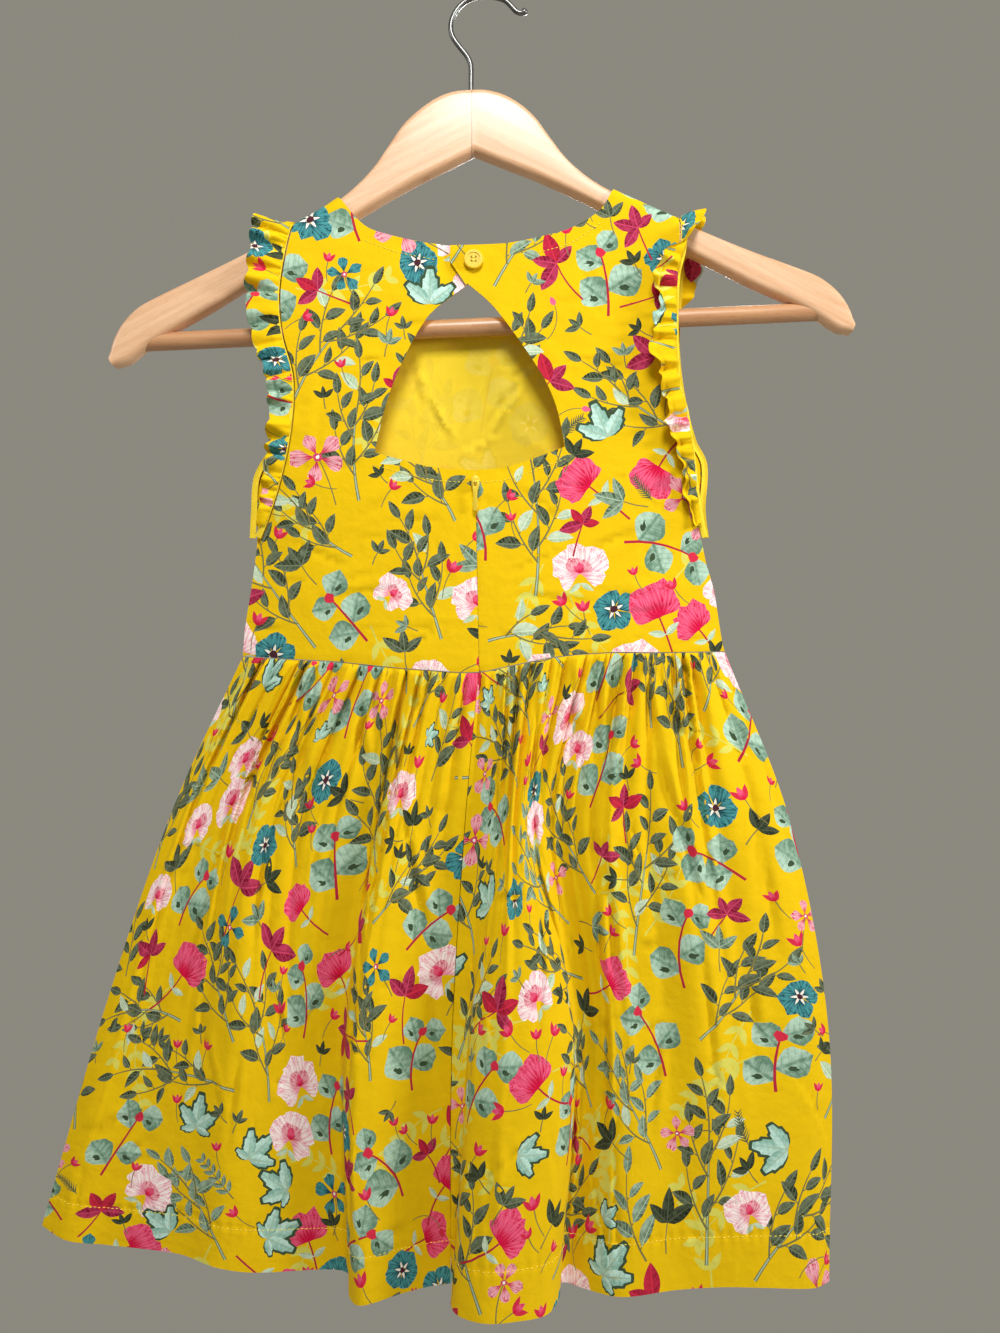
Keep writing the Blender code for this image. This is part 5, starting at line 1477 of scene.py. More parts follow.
def centre_seam_dip(x: Array, height: Array) -> Array:
    """How far the back panels turn in at the centre-back seam, under the cut-out."""
    share, middle = centre_seam(height)
    return 0.6 * np.exp(-(((x - middle) / 1.3) ** 2)) * np.clip(share * 6 + 0.3, 0, 1)


LINING_CREASES = rows_of(
    CreaseRow,
    (12, -242, 54, 64, 3.2, 1.6), (-6, -238, 72, 70, 3.6, 1.4), (-26, -246, 118, 46, 3.0, 1.0),
    (22, -222, 40, 40, 2.6, 1.1), (-2, -262, 25, 38, 2.4, 1.1), (-38, -226, 100, 40, 3.2, 0.9),
)
SMALL_BACK_CREASES = scattered_creases(5, (-130, 130, -385, -180), 70, 8, 34, 0.6)
SMALL_FRONT_CREASES = scattered_creases(6, (-120, 120, -385, -210), 34, 20, 50, 0.5)


def back_panel_form(left: bool) -> FlatForm:
    """The hanging form of a back bodice panel."""

    def form(x: Array, height: Array) -> Array:
        """The hanging points of flat ones."""
        lift = creased(x, height, BACK_CREASES, SMALL_BACK_CREASES)
        lift = lift - seam_dip(x, height) - centre_seam_dip(x, height)
        if left:
            lift = lift - under_lap(x, height)
        return bodice_point(x, height, -1, lift)

    return form


def front_panel_form(inset: float) -> FlatForm:
    """The hanging form of the front bodice, or of its lining, which lies inside it."""

    def form(x: Array, height: Array) -> Array:
        """The hanging points of flat ones."""
        own = (LINING_CREASES,) if inset else ()
        lift = creased(x, height, FRONT_CREASES, SMALL_FRONT_CREASES, *own)
        return bodice_point(x, height, 1, lift - seam_dip(x, height) - inset)

    return form


def uneven(share: Array, seed: float) -> Array:
    """A slow wave from about -1 to 1 that never repeats across the cloth."""
    parts = [(5.3, 0.5), (11.7, 0.33), (23.9, 0.2)]
    return sum(size * np.sin(2 * np.pi * (pace * share + seed * pace)) for pace, size in parts)


def gathers(share: Array, down: Array, flat_at: float | None, seed: float) -> Array:
    """How high the gathers stand: uneven pleats, with sharp valleys near the seam, that open downwards."""
    height = table(GATHER_FADE, "down", "height", np.clip(down, 0, GATHER_FADE[-1].down))
    turn = 2 * np.pi * GATHERS * share + 3.4 * uneven(share, seed)
    pinched = 2 * np.abs(np.sin(turn / 2 + np.pi / 4)) ** 0.75 - 1.15
    soft = np.sin(turn)
    near_seam = np.clip(1 - down / 70, 0, 1)
    wave = soft * (1 - near_seam) + pinched * near_seam
    fine = 0.5 * np.sin(2.35 * turn + 2 * uneven(share, seed + 0.4)) * np.exp(-((down - 5) / 11) ** 2)
    swell = np.clip(1 + 1.2 * uneven(share * 1.7, seed + 0.17), 0.15, 2.3)
    ease = 1.0 if flat_at is None else np.minimum(
        1.0, ZIP_FLAT_LEFT + (1 - ZIP_FLAT_LEFT) * np.abs(share - flat_at) / ZIP_FLAT)
    edge = np.minimum(1.0, np.minimum(share, 1 - share) * GATHERS)
    return (1.2 * height * wave * swell + fine) * ease * edge


@dataclass(frozen=True)
class SkirtForm:
    """The hanging form of the skirt's back or front. Flat u runs across, and flat v up from the waist."""

    folds: list[FoldRow]
    side: int
    seed: float
    creases: list[CreaseRow]

    def __call__(self, u: Array, v: Array) -> Array:
        """The hanging points of flat ones, one a row."""
        share, down = np.clip(u / SKIRT_CUT_WIDTH, 0, 1), -v
        waist_x = BODY[-1].left + (BODY[-1].right - BODY[-1].left) * share
        top = waist_z(waist_x)
        hem = table(self.folds, "share", "hem_z", share)
        length = top - hem
        fall = down / length + np.clip((down - LAST_FREE_DOWN) / (HEM_DOWN - LAST_FREE_DOWN), 0, 1.02) * (
            1 - HEM_DOWN / length)
        waist_near = lens(waist_x, np.full_like(waist_x, BODY[-1].z), self.side)
        xs, nears = [waist_x], [waist_near]
        for level in ("hip", "mid", "hem"):
            xs.append(table(self.folds, "share", level + "_x", share))
            nears.append(table(self.folds, "share", level + "_near", share))
        x, near = (through(FOLD_DOWN, levels, np.clip(fall, 0, 1)) for levels in (xs, nears))
        flat_at = CENTRE_SHARE if self.side < 0 else None
        wave = gathers(share, down, flat_at, self.seed) * eased(down / 3.0)
        wave = wave + CREASE_STRENGTH * troughs(u, v, self.creases)
        wave = wave * np.clip(near / 4, 0, 1)
        wave = wave + self.hem_band(share, down) - 0.5 * np.exp(-((down / 1.4) ** 2))
        if self.side < 0:
            wave = wave - 0.7 * np.exp(-((((share - CENTRE_SHARE) * SKIRT_CUT_WIDTH) / 1.6) ** 2))
        z = top - length * fall - SEAM_GAP
        return np.stack([x, self.side * np.maximum(near + wave, EDGE_Y), z], axis=-1)

    def hem_band(self, share: Array, down: Array) -> Array:
        """The turned-up hem: a little proud, with puckers along its stitches."""
        edge = HEM_DOWN - HEM_FOLD
        groove = -0.45 * np.exp(-(((down - edge) / 1.3) ** 2))
        pucker = 0.3 * np.sin(2 * np.pi * 92 * share + 2 * uneven(share, self.seed)) * np.exp(
            -(((down - edge) / 5) ** 2))
        return groove + pucker + 0.3 * eased((down - edge) / 2)


def skirt_inner(u_from: float, u_to: float, across: float) -> Array:
    """Points inside a skirt panel: close rows under the gathers and at the hem, wider ones between."""
    downs = np.concatenate([np.arange(1.2, 12, 1.8), np.arange(13, 60, 3.2), np.arange(62, 322, 5.2),
                            np.arange(323, 353, 2.0)])
    count = int((u_to - u_from) / across)
    us = u_from + (u_to - u_from) * (np.arange(count) + 0.5) / count
    grid = np.stack(np.meshgrid(us, -downs), axis=-1)
    grid[1::2, :, 0] += across * 0.25
    return grid.reshape(-1, 2)


def skirt_outline(u_from: float, u_to: float) -> Line:
    """The flat outline of a skirt panel."""
    count = int((u_to - u_from) / 2.2)
    us = np.linspace(u_from, u_to, count + 1)
    downs = np.arange(4, HEM_DOWN - 1, 4.0)
    return ([(u, 0.0) for u in us] + [(u_to, -d) for d in downs] + [(u, -HEM_DOWN) for u in us[::-1]]
            + [(u_from, -d) for d in downs[::-1]])


MAIN_SKIRT_CREASES = rows_of(
    CreaseRow,
    (99, -30, -48, 101, 5.0, 1.2), (120, -115, -97, 113, 5.0, 2.0), (120, -40, -58, 113, 5.0, 1.2),
    (172, -39, -63, 87, 5.0, 2.2), (204, -131, -73, 144, 5.0, 2.2), (178, -27, -65, 63, 5.0, 1.4),
    (204, -34, -64, 63, 5.0, 1.5), (252, -116, -64, 138, 5.0, 1.3), (222, -19, -55, 40, 5.0, 1.2),
    (316, -84, -79, 82, 5.0, 1.4), (380, -69, -69, 182, 5.0, 1.5), (81, -69, -55, 70, 5.0, 1.0),
    (415, -32, -56, 86, 5.0, 1.5), (443, -38, -72, 89, 5.0, 2.0), (454, -104, -89, 79, 5.0, 2.2),
    (458, -29, -72, 60, 5.0, 1.4), (492, -30, -70, 62, 5.0, 1.8), (510, -86, -73, 86, 5.0, 2.0),
    (520, -41, -57, 78, 5.0, 1.5), (534, -12, -43, 31, 5.0, 1.1), (394, -128, -73, 125, 5.0, 1.8),
    (450, -164, -99, 85, 3.6, 2.2), (462, -162, -100, 67, 3.6, 1.0), (522, -132, -81, 33, 3.6, 1.2),
    (568, -50, -88, 33, 5.0, 1.0), (140, -206, -77, 33, 3.6, 1.2), (215, -210, -92, 75, 3.6, 2.0),
    (215, -279, -89, 98, 3.6, 2.2), (302, -254, -89, 151, 3.6, 2.2), (92, -238, -68, 77, 3.6, 0.8),
    (322, -196, -99, 32, 3.6, 1.0), (413, -281, -87, 148, 3.6, 2.0), (445, -239, -92, 120, 3.6, 2.0),
    (544, -208, -92, 44, 3.6, 1.0), (338, -288, -89, 73, 3.6, 1.0), (344, -133, 0, 50, 3.6, 1.0),
    (269, -78, 4, 18, 5.0, 0.8), (68, -162, -100, 90, 3.6, 1.0), (518, -216, -91, 101, 3.6, 0.8),
    (483, -242, -98, 109, 3.6, 0.7), (274, -206, -84, 73, 3.6, 1.0), (372, -174, -107, 96, 3.6, 1.2),
    (110, -249, -93, 80, 3.6, 0.8), (560, -147, -93, 80, 3.6, 0.8),
)
SKIRT_BACK_CREASES = (
    MAIN_SKIRT_CREASES
    + scattered_creases(21, (10, 575, -320, -60), 46, 92, 60, 0.55)
    + scattered_creases(31, (20, 565, -330, -90), 34, 12, 34, 0.4)
)
SKIRT_FRONT_CREASES = (
    [row._replace(u=SKIRT_CUT_WIDTH - row.u, angle=180 - row.angle, v=row.v * 0.94 - 6)
     for row in MAIN_SKIRT_CREASES]
    + scattered_creases(22, (10, 575, -320, -60), 46, 88, 60, 0.55)
    + scattered_creases(32, (20, 565, -330, -90), 24, 168, 34, 0.4)
)

BACK_SKIRT = SkirtForm(BACK_FOLDS, -1, 0.21, SKIRT_BACK_CREASES)
FRONT_SKIRT = SkirtForm(FRONT_FOLDS, 1, 0.63, SKIRT_FRONT_CREASES)


class ArmholePlaces(NamedTuple):
    """Even places round an armhole, with the ways out of it and out of the body, and its length."""

    shares: Array
    points: Array
    out: Array
    up: Array
    length: float


def strip(us: Array, widths: Array, rows: Sequence[float]) -> tuple[Line, Array]:
    """The flat outline of a strip, and points inside it in rows at shares of its width."""
    outline = [(float(u), 0.0) for u in us] + [(float(u), float(w)) for u, w in zip(us[::-1], widths[::-1])]
    return outline, np.array([(u, w * t) for t in rows for u, w in zip(us[1:-1], widths[1:-1])])


@dataclass
class ArmholeTrim:
    """A gathered frill and a narrow binding round one armhole."""

    left: bool
    widths: list[FrillRow]
    stations: int = 240

    def places(self, trim: float) -> ArmholePlaces:
        """Even places round the armhole, which start and end a distance from the underarm."""
        back = ARMHOLE_LEFT if self.left else ARMHOLE_RIGHT
        front = ARMHOLE_FRONT_LEFT if self.left else ARMHOLE_FRONT_RIGHT
        end = SHOULDER_LEFT_X if self.left else SHOULDER_RIGHT_X
        top, under = (end, float(shoulder_height(end))), side_line(self.left)[0]
        rows = [(x, z, -1) for x, z in smooth_line([under] + back[::-1] + [top], 3.0)]
        rows += [(x, z, 1) for x, z in smooth_line([top] + front + [under], 3.0)[1:]]
        placed, normals = [], []
        for x, z, side in rows:
            at = np.array([x, x + 1, x - 1, x])
            p = bodice_point(at, np.array([z, z, z, z - 1]), side)
            normal = np.cross(p[1] - p[2], p[0] - p[3])
            normal /= np.linalg.norm(normal)
            placed.append(p[0])
            normals.append(normal if normal @ np.array([0, p[0][1], 8]) > 0 else -normal)
        placed, normals = np.array(placed), np.array(normals)
        along = np.concatenate([[0], np.cumsum(np.linalg.norm(np.diff(placed, axis=0), axis=1))])
        shares = np.linspace(0, 1, self.stations + 1)
        place = trim + (along[-1] - 2 * trim) * shares

        def read(vectors: Array, at: Array) -> Array:
            """Vectors between those at the rows' places."""
            return np.stack([through(along, vectors[:, k], at) for k in range(3)], axis=1)

        tangent = read(placed, place + 4) - read(placed, place - 4)
        tangent /= np.linalg.norm(tangent, axis=1)[:, None]
        up = read(normals, place)
        up -= tangent * (up * tangent).sum(1)[:, None]
        up /= np.linalg.norm(up, axis=1)[:, None]
        out = np.cross(up, tangent)
        out /= np.linalg.norm(out, axis=1)[:, None]
        out *= np.where((out[:, 0] > 0) == self.left, -1, 1)[:, None]
        return ArmholePlaces(shares, read(placed, place), out, up, along[-1] - 2 * trim)

    def strip_form(self, places: ArmholePlaces, cut: float, steps: Callable) -> FlatForm:
        """Lays flat cloth along the armhole: u runs along it and v away from its seam."""

        def form(u: Array, v: Array) -> Array:
            """The hanging points of flat ones."""
            share = np.clip(u / cut, 0, 1)
            here, outward, upward = (
                np.stack([np.interp(share, places.shares, part[:, k]) for k in range(3)], axis=1)
                for part in (places.points, places.out, places.up)
            )
            out_step, up_step = steps(share, v)
            return here + outward * out_step[:, None] + upward * up_step[:, None]

        return form

    def frill_steps(self, share: Array, v: Array) -> tuple[Array, Array]:
        """How far out of the armhole, and out of the body, a point of the frill lies."""
        width = table(self.widths, "share", "width", share)
        turned_back = np.clip(table(self.widths, "share", "turned", share), 0, 1)
        across = np.clip(v / width, 0, 1)
        seed = 0.3 if self.left else 0.8
        loose = 1 + 0.2 * uneven(share * 1.6, seed + 0.5)
        swing = np.radians(12.0 + 132.0 * turned_back * np.minimum(1.0, across * 2.2)) * loose
        roll = 2.2 * turned_back * np.sin(np.pi * np.minimum(1.0, across * 1.4))
        out_step = 1.4 + v * np.cos(swing)
        up_step = 0.7 + CLOTH_GAP * eased(v / 4) + v * (0.22 + 0.1 * turned_back) + roll
        wave = (0.5 + 2.7 * across**0.7) * np.minimum(1.0, width / 12)
        wave = wave * (1 + 0.55 * uneven(share * 0.8, seed + 0.2))
        phase = 2 * np.pi * FRILL_WAVES * share + 3.0 * uneven(share, seed)
        up_step = up_step + wave * np.sin(phase) + np.maximum(0, wave - 1.2) * turned_back
        fine = 0.5 * np.sin(2.6 * phase + 1.0) * np.exp(-((across - 0.15) / 0.4) ** 2)
        return out_step + 0.35 * wave * np.cos(phase + 0.5) * across, up_step + fine

    def binding_steps(self, share: Array, v: Array) -> tuple[Array, Array]:
        """How far out of the armhole, and out of the body, a point of the binding lies."""
        t = np.clip(v / BINDING_WIDTH, 0, 1)
        return 0.9 + v, 0.5 * np.sin(np.pi * t)


@dataclass
class Dress:
    """The cloth of the dress: its pieces share their materials and the print."""

    face: Material
    wrong_side: Material
    lining: Material
    print_seed: int = 11

    def printed(self, outline: Sequence[tuple[float, float]], seed: int) -> list[Shape]:
        """A stretch of print that covers an outline."""
        ring = np.array(outline)
        return FlowerPrint(tuple(ring.min(0) - 8), tuple(ring.max(0) + 8), self.print_seed + seed).draw()

    def panel(self, name: str, outline: Line, inner: Array, form: FlatForm, outward: int, seed: int,
              held: str, rests_on: str, **cut: bool) -> None:
        """Builds one printed panel."""
        wrong_side = self.face if cut.get("both_printed") else self.wrong_side
        ClothPiece(name, "printed_cloth", outline, inner, form, outward, self.face, wrong_side, held,
                   rests_on, self.printed(outline, seed), **cut).build()

    def bodice(self) -> None:
        """The back panels, the front and its lining."""
        for left, seed in ((True, 2), (False, 1)):
            outline = outline_back(left)
            self.panel("bodice_back_left" if left else "bodice_back_right", outline, lattice(outline, 3.6),
                       back_panel_form(left), 1, seed, "hung", "hanger_body", rectangle=False)
        front = outline_front()
        self.panel("bodice_front", front, lattice(front, 4.4), front_panel_form(0.0), -1, 3, "hung",
                   "hanger_body", rectangle=False)
        lining = outline_lining(front)
        ClothPiece("bodice_front_lining", "plain_cloth", lining, lattice(lining, 4.0),
                   front_panel_form(CLOTH_GAP), 1, self.lining, self.lining, "hung", "bodice_front",
                   self.printed(lining, 4), rectangle=False).build()

    def skirt(self) -> None:
        """The two back panels and the front, each gathered into the waist seam."""
        centre = CENTRE_SHARE * SKIRT_CUT_WIDTH
        half = SEAM_GAP * 0.75
        for name, u_from, u_to, form, across, seed in (
            ("back_left", 0.0, centre - half, BACK_SKIRT, 2.1, 5),
            ("back_right", centre + half, SKIRT_CUT_WIDTH, BACK_SKIRT, 2.1, 6),
            ("front", 0.0, SKIRT_CUT_WIDTH, FRONT_SKIRT, 3.2, 7),
        ):
            self.panel(f"skirt_{name}", skirt_outline(u_from, u_to), skirt_inner(u_from, u_to, across), form,
                       -form.side, seed, "gathered", f"bodice_{name}")

    def trims(self) -> None:
        """The frill and the binding of each armhole."""
        for left, widths in ((True, FRILL_LEFT), (False, FRILL_RIGHT)):
            word, outward = ("left", 1) if left else ("right", -1)
            on = f"bodice_back_{word}"
            trim = ArmholeTrim(left, widths)
            places = trim.places(FRILL_START)
            cut = places.length * FRILL_FULLNESS
            us = np.linspace(0, cut, int(cut / 1.6))
            wide = table(widths, "share", "width", us / cut)
            outline, inner = strip(us, wide, (0.16, 0.32, 0.5, 0.66, 0.83))
            form = trim.strip_form(places, cut, trim.frill_steps)
            self.panel(f"frill_{word}", outline, inner, form, outward, 8 + left, "gathered", on,
                       rectangle=False, both_printed=True)
            places = trim.places(BINDING_START)
            us = np.linspace(0, places.length, int(places.length / 2.2))
            outline, inner = strip(us, np.full(len(us), BINDING_WIDTH), (0.25, 0.5, 0.75))
            form = trim.strip_form(places, places.length, trim.binding_steps)
            ClothPiece(f"binding_{word}", "plain_cloth", outline, inner, form, outward, self.lining,
                       self.lining, "hung", on).build()


def add_object(name: str, mesh: bpy.types.Mesh, material: Material, body: str,
               node: str = "") -> None:
    """Puts a finished mesh in the scene, on its body, and hides the CAD node that it stands for."""
    mesh.name = name
    if not mesh.materials:
        mesh.materials.append(material)
    obj = in_scene(name, mesh)
    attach(obj, body)
    if node:
        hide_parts(node)


def mesh_from(bm: bmesh.types.BMesh, smooth: float = 35.0) -> bpy.types.Mesh:
    """A mesh from a bmesh in millimetres, smooth but for edges sharper than an angle."""
    bmesh.ops.recalc_face_normals(bm, faces=bm.faces)
    bmesh.ops.scale(bm, vec=(MM, MM, MM), verts=bm.verts)
    mesh = bpy.data.meshes.new("made")
    bm.to_mesh(mesh)
    bm.free()
    mesh.shade_smooth()
    mesh.set_sharp_from_angle(angle=np.radians(smooth))
    return mesh


def add_plate(bm: bmesh.types.BMesh, outline: Sequence[tuple[float, float]], thick: float, centre: Vector,
              edge: float, segments: int) -> None:
    """Adds a plate cut to an outline in X and Z, half its thickness to each side, with rounded edges."""
    ring = [bm.verts.new((x + centre.x, centre.y - thick / 2, z + centre.z)) for x, z in outline]
    face = bm.faces.new(ring)
    raised = bmesh.ops.extrude_face_region(bm, geom=[face])
    moved = [v for v in raised["geom"] if isinstance(v, bmesh.types.BMVert)]
    bmesh.ops.translate(bm, vec=(0, thick, 0), verts=moved)
    own = set(ring) | set(moved)
    rims = [e for e in bm.edges if set(e.verts) <= own and abs(e.verts[0].co.y - e.verts[1].co.y) < 1e-6]
    bmesh.ops.bevel(bm, geom=rims, offset=edge, segments=segments, profile=0.5, affect="EDGES",
                    clamp_overlap=False)


def close_rings(bm: bmesh.types.BMesh, rings: Sequence[Sequence[bmesh.types.BMVert]]) -> None:
    """Skins a row of rings of points, and caps both its ends."""
    for first, second in zip(rings, rings[1:]):
        for k in range(len(first)):
            after = (k + 1) % len(first)
            bm.faces.new((first[k], first[after], second[after], second[k]))
    bm.faces.new(rings[0])
    bm.faces.new(rings[-1][::-1])


def add_tube(bm: bmesh.types.BMesh, path: Array, radii: Array, sides: int) -> None:
    """Adds a closed tube along a path in space, with its radius at each point."""
    path = np.asarray(path, float)
    way = np.gradient(path, axis=0)
    way /= np.linalg.norm(way, axis=1)[:, None]
    side = np.cross(way, (0.0, 1.0, 0.0)) if abs(way[:, 1]).max() < 0.9 else np.cross(way, (1.0, 0.0, 0.0))
    side /= np.linalg.norm(side, axis=1)[:, None]
    over = np.cross(way, side)
    turn = np.arange(sides) * 2 * np.pi / sides
    rings = []
    for p, s, o, r in zip(path, side, over, radii):
        rings.append([bm.verts.new(p + (s * np.cos(a) + o * np.sin(a)) * r) for a in turn])
    close_rings(bm, rings)


@dataclass
class CoatHanger:
    """The wooden hanger: two arms joined in the middle, a round bar and a wire hook with a ball end. The
    bar's beech is a darker copy of the arms', which paints the shade that the bar hangs in.
    """

    wood: Material
    shaded_bar_wood: Material
    steel: Material
    thick: float = 12.4
    edge: float = 4.0
    stations: int = 70
    bar_radius: float = 5.3
    bar_z: float = -139.0
    bar_reach: float = 201.0
    wire_radius: float = 1.5
    shank: tuple[tuple[float, float], ...] = (
        (-8.5, -72), (-8.5, -48), (-8.5, -42), (-8.9, -38), (-11.2, -33.4), (-15.4, -28.2), (-19.2, -22.6),
        (-20.6, -17.4), (-19.6, -11.4), (-16.4, -5.6), (-11.4, -1.2), (-5.4, 1.1), (0, 1.5), (6.4, 1.0),
        (11.8, -0.9), (15.2, -4.0), (18.2, -7.2), (20.8, -8.2), (22.4, -7.8), (23.6, -7.1), (24.6, -6.5),
    )

    def build(self) -> None:
        """Makes the arms, the bar and the hook."""
        self.arms()
        self.bar()
        self.hook()

    def arms(self) -> None:
        """The two arms as one loft of sections with rounded corners, from the left tip to the right one."""
        quarter = np.linspace(0, np.pi / 2, 7)
        halves = []
        for name in ("left", "right"):
            lines = []
            for rows in (ARM_TOP[::-1], ARM_UNDER):
                line = np.array(smooth_line([(getattr(row, name), row.z) for row in rows], 0.5))
                share = np.linspace(0, len(line) - 1, self.stations)
                columns = [np.interp(share, range(len(line)), line[:, k]) for k in (0, 1)]
                lines.append(np.stack(columns, axis=1))
            halves.append(lines)
        tops, unders = (np.concatenate([halves[0][k], halves[1][k][-2::-1]]) for k in (0, 1))
        bm = bmesh.new()
        rings = []
        for top, under in zip(tops, unders):
            tall = np.hypot(*(top - under))
            edge = min(self.edge, tall * 0.45)
            outline = []
            for across, up, start in ((1, 1, 0), (-1, 1, 1), (-1, -1, 0), (1, -1, 1)):
                turn = quarter[::-1] if start else quarter
                outline += [(across * (self.thick / 2 - edge + edge * np.cos(a)),
                             up * (tall / 2 - edge + edge * np.sin(a))) for a in turn]
            (x, z), way = (top + under) / 2, (top - under) / tall
            rings.append([bm.verts.new((x + way[0] * h, y, z + way[1] * h)) for y, h in outline])
        close_rings(bm, rings)
        bmesh.ops.transform(bm, matrix=hanger_to_world(), verts=bm.verts)
        add_object("hanger_arms", mesh_from(bm), self.wood, GARMENT, "hanger_body")

    def bar(self) -> None:
        """The round bar between the arms, in the darker copy of the beech, which paints the shade that falls
        on it.
        """
        bm = bmesh.new()
        xs = np.linspace(-self.bar_reach, self.bar_reach, 24)
        add_tube(bm, np.stack([xs, 0 * xs, self.bar_z + 0 * xs], axis=1), self.bar_radius + 0 * xs, 28)
        bmesh.ops.transform(bm, matrix=hanger_to_world(), verts=bm.verts)
        add_object("hanger_round_bar", mesh_from(bm), self.shaded_bar_wood, GARMENT, "hanger_bar")

    def hook(self) -> None:
        """The wire hook, thicker at its very end."""
        line = np.array(smooth_line(self.shank, 1.2))
        end = np.hypot(*(line - line[-1]).T)
        ball = np.where(end < 3.4, np.sqrt(np.clip(1 - ((end - 1.7) / 1.75) ** 2, 0.02, 1)) * 2.1, 0)
        radii = np.maximum(np.where(end < 0.8, 0, self.wire_radius), ball)
        bm = bmesh.new()
        add_tube(bm, np.stack([line[:, 0], 0 * line[:, 0], line[:, 1]], axis=1), radii, 16)
        add_object("hanger_wire", mesh_from(bm, 80.0), self.steel, GARMENT, "hanger_hook")


@dataclass
class BackZip:
    """The short zip under the cut-out: its slider, its pull tab, and its coils behind the seam."""

    paint: Material
    coil: Material
    slider_z: float = -289.0
    size: tuple[float, float, float] = (4.6, 1.8, 8.0)
    hole: float = 0.8
    pull_width: float = 3.2
    pull_thick: float = 0.9
    pull_length: float = 17.0
    coil_pitch: float = 1.3

    def places(self) -> tuple[Vector, Vector]:
        """The middle of the slider, and the middle of the pin that the tab swings on."""
        _, x = centre_seam(self.slider_z)
        low = np.array([self.slider_z - self.size[2] / 2])
        skin = float(bodice_point(np.array([x]), low, -1)[0, 1]) - 0.6
        body = Vector((x, skin - 0.6 - self.size[1] / 2, self.slider_z))
        return body, Vector((x, body.y - self.size[1] / 2 - self.hole, self.slider_z + 0.6))

    def build(self) -> None:
        """Makes the slider, the pull tab and the coils."""
        body, pin = self.places()
        wide, thick, tall = self.size
        bm = bmesh.new()
        right = [(wide * 0.36, -tall / 2), (wide / 2, -tall * 0.1), (wide / 2, tall * 0.3),
                 (wide * 0.34, tall / 2)]
        left = [(-x, z) for x, z in right]
        add_plate(bm, left[:1] + right + left[:0:-1], thick, body, 0.45, 3)
        turn = np.linspace(-0.1, np.pi + 0.1, 13)
        arch = np.stack([0 * turn + pin.x, pin.y - 1.2 * np.sin(turn), pin.z + 1.2 * np.cos(turn)], axis=1)
        add_tube(bm, arch, 0.4 + 0 * turn, 10)
        add_object("zip_slider_metal", mesh_from(bm), self.paint, GARMENT, "zip_slider")
        self.tab(pin)
        self.coils()

    def tab(self, pin: Vector) -> None:
        """The pull tab: a waisted strip with a slot, on its pin."""
        half, eye = self.pull_width / 2, 2.6
        right = [(half * 0.9, -eye - 2), (half * 0.68, -eye - 6), (half, -self.pull_length + 4),
                 (half * 0.8, -self.pull_length + 1), (half * 0.35, -self.pull_length)]
        outline = [(-x, z) for x, z in right] + right[::-1]
        outline += [(half, 0.2), (1.0, 0.2), (1.0, -eye), (-1.0, -eye), (-1.0, 0.2), (-half, 0.2)]
        bm = bmesh.new()
        add_plate(bm, outline, self.pull_thick, pin, 0.2, 2)
        xs = np.linspace(pin.x - half, pin.x + half, 4)
        add_tube(bm, np.stack([xs, 0 * xs + pin.y, 0 * xs + pin.z], axis=1), self.pull_thick / 2 + 0 * xs, 12)
        add_object("zip_pull_metal", mesh_from(bm), self.paint, "pull", "zip_pull")

    def coils(self) -> None:
        """Paired coils behind the seam, from the slider down to the waist."""
        zs = np.arange(self.slider_z + 3, float(waist_z(CENTRE_WAIST_X)) + 4, -self.coil_pitch)
        _, xs = centre_seam(zs)
        points = bodice_point(xs, zs, -1, -1.3)
        set_along("zip_coils", points, 0 * points, self.coil, 2.6, 0.32)


def repeat_group() -> bpy.types.GeometryNodeTree:
    """Geometry Nodes that set one small rounded bar at each point, turned as the point's attribute says."""
    tree = bpy.data.node_groups.new("set_bars", "GeometryNodeTree")
    face = tree.interface
    face.new_socket("Geometry", in_out="INPUT", socket_type="NodeSocketGeometry")
    for name in ("Length", "Radius"):
        face.new_socket(name, in_out="INPUT", socket_type="NodeSocketFloat")
    face.new_socket("Material", in_out="INPUT", socket_type="NodeSocketMaterial")
    face.new_socket("Geometry", in_out="OUTPUT", socket_type="NodeSocketGeometry")
    g = Graph(tree)
    given = g.add("NodeGroupInput")
    ball = g.add("GeometryNodeMeshUVSphere", {"Segments": 6, "Rings": 4, "Radius": 1.0})
    half = g.add(MATH, {0: given.outputs["Length"], 1: 0.5}, operation="MULTIPLY")
    size = g.add("ShaderNodeCombineXYZ", {0: half, 1: given.outputs["Radius"], 2: given.outputs["Radius"]})
    bar = g.add("GeometryNodeTransform", {"Geometry": ball.outputs["Mesh"], "Scale": size})
    smooth = g.add("GeometryNodeSetShadeSmooth", {"Geometry": bar})
    turn = g.add("GeometryNodeInputNamedAttribute", {"Name": "turn"}, data_type="FLOAT_VECTOR")
    spin = g.add("FunctionNodeEulerToRotation", {0: turn.outputs["Attribute"]})
    spread = g.add("GeometryNodeInstanceOnPoints", {"Points": given.outputs["Geometry"], "Instance": smooth,
                                                    "Rotation": spin})
    real = g.add("GeometryNodeRealizeInstances", {0: spread})
    painted = g.add("GeometryNodeSetMaterial", {"Geometry": real, "Material": given.outputs["Material"]})
    g.add("NodeGroupOutput", {0: painted})
    return tree


